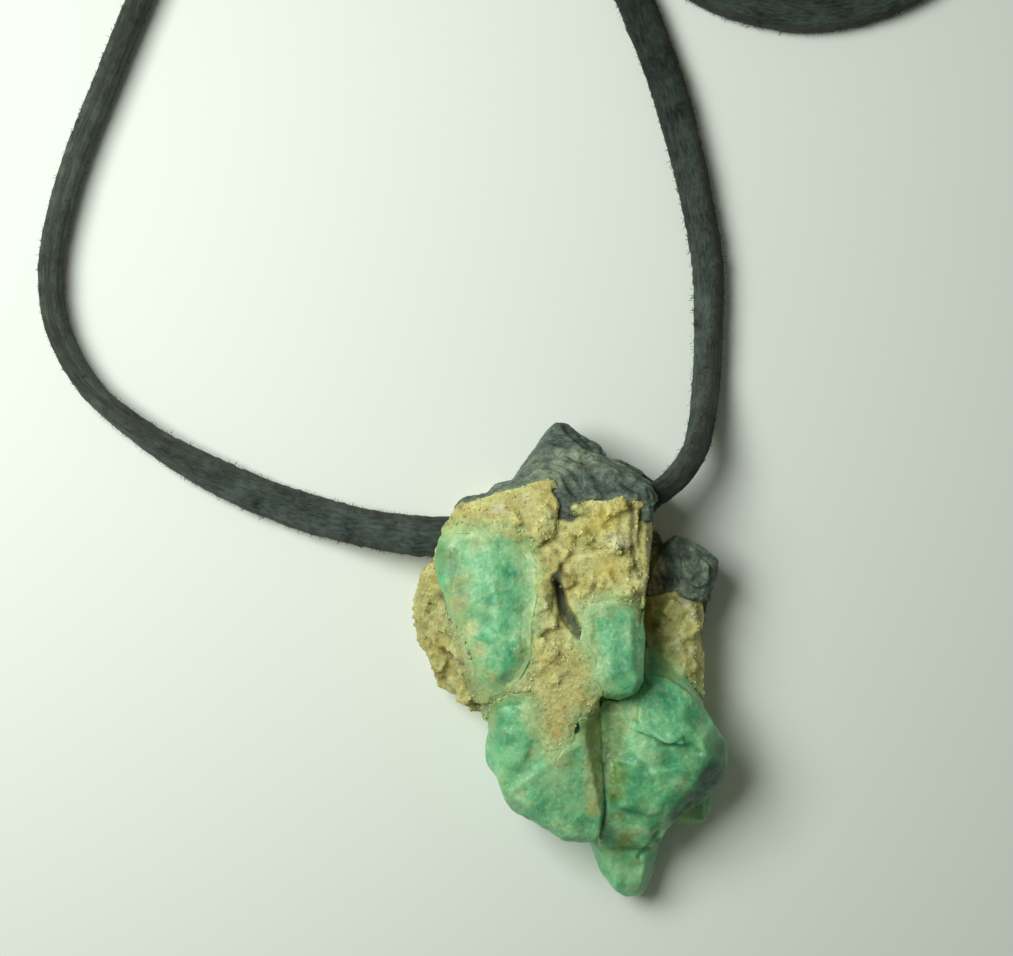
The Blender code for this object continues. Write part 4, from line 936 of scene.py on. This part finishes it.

# %% [markdown]
# An emerald's green comes from traces of chromium and vanadium, and it is uneven: deep in some
# zones, milky or creamy where feldspar shows through, olive where iron has stained it. These
# zones are marked as on the host, each crystal with its own. Some milky marks are painted light,
# where faces of the lower left crystal turn from the lamp, and the shade marks are painted shade.

# %% Mark the crystals' colours
ZONES = {
    "emerald_upper_left": {
        "deep": [
            (-5.2, 8.1, 1.6, 0.8), (-5.0, 5.6, 1.7, 0.8), (-4.5, 5.1, 1.1, 1.0), (-7.6, 4.1, 1.1, 0.9),
            (-5.8, 6.8, 2.0, 0.6), (-4.9, 1.4, 1.8, 0.8), (-7.3, 2.2, 1.4, 0.6), (-7.2, 5.9, 1.1, 0.7),
            (-11.3, 10.2, 1.2, 0.6), (-5.4, 0.4, 1.4, 0.7),
        ],
        "cream": [
            (-9.9, 5.4, 2.0, 1.2), (-9.7, 7.4, 1.9, 0.9), (-8.8, 3.4, 1.6, 1.1), (-8.4, 11.2, 1.8, 0.9),
            (-8.1, 1.6, 1.6, 0.9), (-3.4, 3.0, 0.9, 0.8), (-6.9, -0.8, 1.4, 0.9), (-3.6, -0.2, 1.0, 0.8),
        ],
        "milky": [
            (-6.3, 7.2, 1.4, 0.6), (-4.0, 9.4, 1.4, 0.7), (-6.8, 1.8, 1.2, 0.6), (-3.9, 8.6, 0.6, 1.2),
        ],
        "olive": [(-10.8, 9.6, 2.2, 0.8), (-9.8, 7.4, 2.0, 0.6)],
        "shade": [(-5.6, -1.0, 1.5, 0.6), (-10.6, 8.8, 2.6, 0.5), (-9.4, 6.2, 2.2, 0.45)],
    },
    "emerald_middle": {
        "deep": [
            (3.6, 3.6, 1.8, 0.55), (4.0, -0.1, 1.7, 1.0), (5.0, 0.5, 1.4, 0.9), (4.2, 1.8, 1.7, 0.7),
        ],
        "cream": [(1.5, 3.4, 1.4, 0.9), (1.5, 1.6, 1.3, 0.9), (2.0, 0.0, 1.0, 0.8), (2.4, 5.0, 1.2, 0.7)],
        "milky": [(4.6, 3.4, 1.2, 0.6), (3.4, -1.6, 1.0, 0.8)],
        "olive": [(2.0, -1.2, 0.8, 0.5)],
    },
    "emerald_lower_left": {
        "deep": [
            (-5.9, -6.2, 2.2, 1.0), (-6.2, -4.8, 1.7, 1.0), (-2.8, -12.7, 1.2, 0.5),
            (0.9, -13.9, 1.6, 0.5),
        ],
        "cream": [
            (-3.2, -5.0, 1.5, 0.7), (-2.8, -6.8, 1.3, 0.7), (1.8, -4.6, 1.4, 0.8), (2.0, -6.6, 1.2, 0.6),
        ],
        # Some of these milky marks are painted light, on faces that turn from the lamp.
        "milky": [
            (-4.6, -11.3, 1.3, 0.9), (-3.8, -10.0, 1.6, 0.7), (2.1, -9.4, 1.3, 1.0),
            (1.9, -11.2, 1.3, 1.0), (0.8, -12.6, 1.2, 0.7), (-3.6, -12.0, 0.8, 0.8),
            (-1.4, -9.8, 3.4, 0.8), (1.6, -7.6, 1.4, 0.8),
        ],
        "olive": [(2.7, -4.6, 0.9, 0.9), (1.0, -5.0, 0.9, 0.6), (2.7, -8.4, 0.8, 0.8)],
        "shade": [(0.5, -5.4, 0.75, 1.0), (2.9, -14.6, 1.2, 0.4)],
    },
    "emerald_right": {
        "deep": [
            (7.6, -1.0, 2.6, 1.1), (8.6, -3.1, 2.4, 1.3), (10.6, -4.6, 2.4, 1.1), (7.2, -3.2, 1.8, 0.9),
            (12.4, -8.6, 2.4, 1.1), (12.0, -10.6, 2.6, 1.3), (10.2, -12.2, 2.4, 1.2),
            (6.4, -9.6, 1.6, 0.9), (5.6, -13.0, 1.9, 1.0), (8.6, -8.6, 2.4, 1.0), (7.6, -6.4, 2.0, 0.6),
            (9.8, -7.0, 2.2, 0.8), (6.2, -20.6, 1.6, 0.5), (7.4, -14.2, 1.8, 1.0),
        ],
        "cream": [
            (3.9, -3.8, 1.8, 0.8), (5.6, -4.4, 1.4, 0.5), (10.4, -2.4, 0.9, 0.7), (5.2, -15.4, 1.7, 0.6),
        ],
        "milky": [
            (7.2, -8.3, 1.2, 0.6), (6.4, -5.2, 1.2, 0.6), (9.6, -5.4, 1.0, 0.6), (6.4, -19.0, 1.8, 0.8),
            (5.6, -20.6, 1.0, 0.6), (9.4, -10.4, 0.9, 0.5),
        ],
        "olive": [
            (3.6, -7.4, 2.1, 1.8), (3.6, -9.4, 2.1, 1.9), (3.8, -5.6, 2.1, 1.7), (5.0, -16.3, 1.9, 1.2),
            (3.8, -3.8, 1.7, 0.9), (3.9, -11.2, 1.7, 1.3), (4.4, -13.4, 1.4, 0.8), (5.8, -18.0, 1.2, 0.6),
        ],
        "shade": [
            (12.9, -10.0, 3.0, 1.4), (11.4, -12.4, 2.5, 1.3), (9.6, -13.6, 1.8, 1.0),
            (7.9, -16.0, 1.2, 0.8), (13.6, -7.6, 2.0, 0.8),
        ],
    },
    "emerald_chip": {
        "deep": [(12.0, -13.8, 1.6, 0.5)],
        "milky": [(11.0, -14.2, 1.8, 1.0)],
        "shade": [(9.6, -12.6, 1.8, 0.3)],
    },
}
ZONE_NAMES = ("deep", "cream", "milky", "olive", "shade")
PALE_STRIP = [(1.9, -4.4), (1.9, -7.0), (2.1, -9.6), (2.0, -12.6)]
TWIN_JOINT = [(3.1, -7.0), (3.1, -9.0), (3.1, -11.0), (3.0, -13.0), (2.7, -15.6)]
for node, piece in crystals.items():
    zones = {name: dabs(piece, ZONES[node].get(name, [])) for name in ZONE_NAMES}
    rim = fade(distance_to(piece, ("matrix",), 1.9), 1.9)
    pale_strip = near_line(piece, PALE_STRIP, 1.1) * (node == "emerald_lower_left")
    zones["cream"] = np.maximum.reduce([zones["cream"], rim * 0.72, pale_strip * 1.5])
    groove = near_line(piece, TWIN_JOINT, 0.5) * (node in TWINS)
    zones["shade"] = np.maximum(zones["shade"], groove * 0.8)
    for name, amounts in zones.items():
        keep(piece, name, amounts)
    keep(piece, "painted_hollow_shade", hollows(piece, 10, 0.12))
    print("Marks on", piece.name + ":", sum(len(marks) for marks in ZONES[node].values()))

# %% [markdown]
# ## Schist
#
# The schist is dark, fine and split in thin leaves that lean back from the crystals. The relief
# is stretched flat along the leaves, so that broken edges show steps and the tops stay flatter.

# %% Shape the schist
def leaves(piece, lean, thickness, share):
    """Draw the skin to flat leaves of this thickness in mm, stacked along the lean direction."""
    lean = np.array(lean) / np.linalg.norm(lean)
    spots = verts_of(piece)
    x, y, z = spots.T
    waver = 0.2 * np.sin(0.9 * x + 0.5 * y + 0.7 * z) + 0.1 * np.sin(1.7 * y - 1.1 * x + 2.0)
    layer = spots @ lean / thickness + waver
    inside = layer - np.floor(layer)
    riser = np.clip((inside - 0.8) / 0.2, 0, 1)
    spots += ((np.floor(layer) + 0.4 + riser - layer) * thickness * share)[:, None] * lean
    move_to(piece, spots)


schists = {node: rocks[node] for node in STONES[1:3]}
LEANS = {  # the way the leaves face, and the turn of the grain in degrees
    "schist_cap": ((-0.2, 0.1, 1.0), (-12, 6, 32)),
    "schist_spur": ((0.25, 0.15, 1.0), (10, -8, -30)),
}
for node, (lean, tilt) in LEANS.items():
    piece = schists[node]
    leaves(piece, lean, 0.5, 0.4)
    relief(piece, "VORONOI", 0.16, (1.9, 1.0, 0.6), tilt, color_mode="POSITION")
    relief(piece, "CLOUDS", 0.13, (1.1, 0.6, 0.35), tilt, noise_depth=2, noise_type="HARD_NOISE")
    relief(piece, "CLOUDS", 0.05, (0.3, 0.25, 0.2), tilt, noise_depth=1)
    print(piece.name, "has", len(piece.data.polygons), "faces")

# %% Mark the schist's colours
LIGHT_PLANE = [
    (-1.0, 18.4, 1.5, 0.9), (0.5, 18.5, 1.4, 1.0), (2.0, 18.4, 1.2, 0.8), (-1.2, 17.4, 1.4, 0.9),
    (-2.6, 17.0, 1.3, 0.7), (-3.8, 16.3, 1.2, 0.5), (0.2, 17.6, 1.0, 0.8), (2.7, 16.6, 1.0, 0.4),
    (5.2, 17.0, 1.2, 0.5), (6.6, 16.0, 1.0, 0.5), (11.0, 10.2, 1.4, 0.5), (12.2, 8.6, 1.2, 0.3),
]
DARK_BANDS = [
    (0.0, 14.7, 1.1, 1.5), (0.4, 13.7, 0.9, 1.5), (1.0, 15.2, 1.1, 1.3), (-0.2, 15.4, 1.2, 0.8),
    (1.3, 15.3, 1.2, 0.9), (3.0, 15.5, 1.3, 0.9), (4.8, 15.4, 1.3, 0.8), (6.4, 14.8, 1.3, 0.8),
    (0.0, 14.2, 1.0, 0.9), (-0.6, 21.0, 1.5, 0.7), (8.4, 6.6, 1.6, 0.6), (12.6, 5.0, 2.0, 0.8),
]
# Pale paint on the spur's side in the gap, which lies in shadow: painted light.
GAP_PAINTED_LIGHT = [(7.6, 8.6, 1.8, 1.4), (7.4, 6.6, 1.6, 1.4), (8.4, 5.6, 1.2, 0.8)]
BROWN_PATCHES = [
    (1.1, 17.4, 0.75, 1.0), (0.6, 17.7, 0.5, 0.8), (4.6, 16.2, 1.2, 0.4), (-0.7, 15.8, 0.8, 0.4),
]
SCHIST_MARKS = {"light": LIGHT_PLANE, "deep": DARK_BANDS, "brown": BROWN_PATCHES, "gap_painted_light": GAP_PAINTED_LIGHT}
for piece in schists.values():
    for name, marks in SCHIST_MARKS.items():
        keep(piece, name, dabs(piece, marks))
    keep(piece, "cream", fade(distance_to(piece, ("matrix",), 0.8), 0.8) * 0.25)
    keep(piece, "painted_hollow_shade", hollows(piece, 8, 0.14))
print("Marks on the schist:", {name: len(marks) for name, marks in SCHIST_MARKS.items()})

# %% [markdown]
# ## Finishes of the stone
#
# Each finish starts from a cloudy base with a finer mottle on it. The marks stored on the mesh
# then mix in the local colours. A mark's edge is broken up with the mottle, because minerals
# never meet on a smooth line. Hollows are darkened with painted shade, and ridges are lightened
# with painted light.

# %% Shared steps for the finishes
def patterns(tree, where, *sizes):
    """One noise for each (size in mm, detail, roughness)."""
    links = [("Vector", where)]
    return [
        add(tree, "TexNoise", links, Scale=per(size), Detail=detail, Roughness=roughness).outputs["Fac"]
        for size, detail, roughness in sizes
    ]


def broken(tree, name, breaker, spread=0.9, soft=0.22):
    """A stored mark whose edge is broken up by a noise."""
    shift = add(tree, "Math", [(0, breaker)], operation="MULTIPLY_ADD", at_1=spread, at_2=-0.5 * spread)
    mark = add(tree, "Attribute", attribute_name=name).outputs["Fac"]
    total = add(tree, "Math", [(0, mark), (1, shift.outputs[0])], operation="ADD").outputs[0]
    return add(tree, "MapRange", [("Value", total)], From_Min=soft, From_Max=1.07 - soft).outputs["Result"]


def stain(tree, base, code, amount, factor):
    """Lay one colour over the base where the factor says, at most by this amount."""
    share = add(tree, "Math", [(0, factor)], operation="MULTIPLY", at_1=amount).outputs[0]
    return add(tree, "Mix", [(0, share), (6, base)], data_type="RGBA", at_7=colour(code)).outputs[2]


def stained(tree, base, *rows):
    """Lay on several colours. A row is the colour, its amount, its stored mark and how to break that up."""
    for code, amount, mark, *breaking in rows:
        base = stain(tree, base, code, amount, broken(tree, mark, *breaking))
    return base


# %% Brightness and sparkle
def brightness(tree, base, factor, low, high, start=0.0, end=1.0):
    """Scale a colour's brightness from low to high as the factor goes from start to end."""
    span = {"From_Min": start, "From_Max": end, "To_Min": low, "To_Max": high}
    level = add(tree, "MapRange", [("Value", factor)], **span).outputs["Result"]
    links = [(6, base), (7, level)]
    return add(tree, "Mix", links, data_type="RGBA", blend_type="MULTIPLY", at_0=1.0).outputs[2]


def sparkle(tree, where, size, tilt, height, strength, depth):
    """Normals of a fine bump, on which small cleavage faces each lean their own way."""
    bump = add(tree, "Bump", [("Height", height)], Strength=strength, Distance=depth * MM).outputs["Normal"]
    cells = add(tree, "TexVoronoi", [("Vector", where)], Scale=per(size)).outputs["Color"]
    centred = add(tree, "VectorMath", [(0, cells)], operation="SUBTRACT", at_1=(0.5, 0.5, 0.5)).outputs[0]
    scaled = add(tree, "VectorMath", [(0, centred)], operation="SCALE", Scale=tilt).outputs[0]
    total = add(tree, "VectorMath", [(0, bump), (1, scaled)], operation="ADD").outputs[0]
    return add(tree, "VectorMath", [(0, total)], operation="NORMALIZE").outputs[0]


# %% [markdown]
# Feldspar, broken and weathered. Fresh cleavage faces flash one at a time, and between them the
# surface is matt, since it is all small edges. Light goes a few tenths of a millimetre into it,
# which keeps its shadows warm. Mottles of 3, 0.8 and 0.3 mm stand for its patches, its crystals
# and its sugar, the last drawn a little coarse so that it shows.

# %% Feldspar material
feldspar, tree, shader = new_material("sugary feldspar")
where = add(tree, "TexCoord").outputs["Object"]
broad, mottle, sugar, cloud = patterns(
    tree, where, (3.0, 5.0, 0.6), (0.8, 4.0, 0.6), (0.3, 5.0, 0.7), (1.6, 3.0, 0.6)
)
stops = [(0.34, "#BDB36A"), (0.5, "#CDCA82"), (0.66, "#DAD99A")]
base = add(tree, "ValToRGB", [("Fac", broad)], stops).outputs["Color"]
base = stained(
    tree, base, ("#E2E0B8", 0.8, "pale", mottle), ("#D6C360", 0.75, "yellow", mottle),
    ("#7DC08C", 0.9, "green", cloud), ("#6E5F36", 0.8, "brown", sugar, 1.3),
)
specks = add(tree, "MapRange", [("Value", sugar)], From_Min=0.42, From_Max=0.3).outputs["Result"]
base = stain(tree, base, "#8A7A48", 0.5, specks)
# The dark colour is partly the rock's own and partly painted shade beside the right wall and in the crack
# along it.
base = stained(tree, base, ("#454E40", 0.9, "dark_rock_and_shade", mottle, 0.8))
tint = add(tree, "Attribute", attribute_name="tint").outputs["Fac"]
base = brightness(tree, base, tint, 0.7, 1.3)
base = brightness(tree, base, sugar, 0.8, 1.06, 0.3, 0.55)
# Painted shade in the hollows and painted light on the ridges.
painted_hollow_shade = add(tree, "Attribute", attribute_name="painted_hollow_shade").outputs["Fac"]
base = brightness(tree, base, painted_hollow_shade, 1.06, 0.6, -0.6, 1.0)
set_surface(tree, shader, base, sparkle(tree, where, 0.28, 0.3, sugar, 0.6, 0.1), Roughness=0.62,
            Specular_IOR_Level=0.45, Subsurface_Weight=0.12, Subsurface_Radius=(0.0004, 0.0004, 0.0002),
            Subsurface_Scale=1.0)
print("Feldspar: mottles of 3, 0.8 and 0.3 mm")

# %% [markdown]
# Emerald, which is beryl, worn and unpolished. Inside it is full of clouds and healed cracks, so
# it looks milky, and its skin shines unevenly: glossy on the worn high places, matt in the pits.
# Clouds of 2.2 and 0.7 mm and a grit of 0.22 mm follow what the eye can part on the real stone.

# %% Emerald material
emerald, tree, shader = new_material("milky emerald")
where = add(tree, "TexCoord").outputs["Object"]
cloud, mottle, grit, swirl = patterns(
    tree, where, (2.2, 6.0, 0.6), (0.7, 5.0, 0.6), (0.22, 4.0, 0.7), (1.6, 4.0, 0.6)
)
stops = [(0.32, "#52B07C"), (0.46, "#76C98E"), (0.58, "#90D59A"), (0.7, "#AEDDA2")]
base = add(tree, "ValToRGB", [("Fac", cloud)], stops).outputs["Color"]
# The milky row is partly the crystal's own milkiness and partly painted light.
base = stained(
    tree, base, ("#239263", 0.75, "deep", swirl, 1.3, 0.1), ("#BCC580", 0.88, "cream", swirl, 1.7, 0.08),
    ("#B6E0A8", 0.6, "milky", swirl, 1.3, 0.1), ("#708A36", 0.75, "olive", swirl, 1.3, 0.1),
)
flecks = add(tree, "MapRange", [("Value", mottle)], From_Min=0.6, From_Max=0.74).outputs["Result"]
base = stain(tree, base, "#D2E6C2", 0.5, flecks)
base = stained(tree, base, ("#2C5540", 0.8, "shade", mottle, 0.6))
base = brightness(tree, base, grit, 0.88, 1.06, 0.3, 0.65)
# Painted shade in the hollows and painted light on the ridges.
painted_hollow_shade = add(tree, "Attribute", attribute_name="painted_hollow_shade").outputs["Fac"]
base = brightness(tree, base, painted_hollow_shade, 1.08, 0.62, -0.7, 1.0)
gloss = add(tree, "MapRange", [("Value", mottle)], From_Min=0.35, From_Max=0.65, To_Min=0.55, To_Max=0.3)
tree.links.new(gloss.outputs["Result"], shader.inputs["Roughness"])
set_surface(tree, shader, base, sparkle(tree, where, 0.35, 0.22, grit, 0.7, 0.07), IOR=1.58,
            Subsurface_Weight=0.15, Subsurface_Radius=(0.0004, 0.0005, 0.0004), Subsurface_Scale=1.0)
print("Emerald: clouds of 2.2 and 0.7 mm, grit of 0.22 mm")

# %% [markdown]
# Mica schist, split along its leaves. It is dark and dull across the leaves and glints along
# them, where the mica lies flat. So its patterns are stretched along the leaves' own lie, and the
# small faces lean further than the feldspar's.

# %% Schist material
schist, tree, shader = new_material("mica schist")
where = add(tree, "TexCoord").outputs["Object"]
lie = [math.radians(a) for a in (-12, 6, 32)]
flat = add(tree, "Mapping", [(0, where)], Rotation=lie, Scale=(0.5, 1.0, 2.2)).outputs[0]
cloud, mottle = patterns(tree, flat, (1.6, 6.0, 0.6), (0.6, 4.0, 0.6))
grit, = patterns(tree, where, (0.18, 4.0, 0.7))
stops = [(0.34, "#3C4B43"), (0.5, "#596A5E"), (0.68, "#798873")]
base = add(tree, "ValToRGB", [("Fac", cloud)], stops).outputs["Color"]
# The last row lays pale paint on the spur's shaded side in the gap: painted light.
base = stained(
    tree, base, ("#98A48C", 0.9, "light", mottle, 0.7), ("#36443C", 0.8, "deep", mottle),
    ("#57543C", 0.9, "brown", mottle, 0.6), ("#A7A77E", 0.7, "cream", mottle, 1.1),
    ("#C2BDA0", 0.9, "gap_painted_light", mottle, 0.8),
)
base = brightness(tree, base, grit, 0.68, 1.28, 0.32, 0.66)
# Painted shade in the hollows and painted light on the ridges.
painted_hollow_shade = add(tree, "Attribute", attribute_name="painted_hollow_shade").outputs["Fac"]
base = brightness(tree, base, painted_hollow_shade, 1.15, 0.6, -0.7, 1.0)
set_surface(tree, shader, base, sparkle(tree, flat, 0.3, 0.5, grit, 0.8, 0.08), Roughness=0.48)
print("Schist: patterns of 1.6 and 0.6 mm, grit of 0.18 mm")

# %% [markdown]
# ## Place the pieces
#
# The stone lies on its back, so no skin may reach below the surface under it. Then each piece
# gets its finish and takes the place of its solid.

# %% Place the stone's pieces
for piece in (*rocks.values(), grains):
    move_to(piece, np.maximum(verts_of(piece), (-np.inf, -np.inf, 0.0)))
for node, piece in rocks.items():
    slot = "feldspar" if piece is matrix else "schist" if node in schists else "emerald"
    piece.data.materials.append({"feldspar": feldspar, "schist": schist, "emerald": emerald}[slot])
    piece.data.shade_smooth()
    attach(piece, "root")
    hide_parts(node)
grains.data.materials.append(feldspar)
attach(grains, "root")
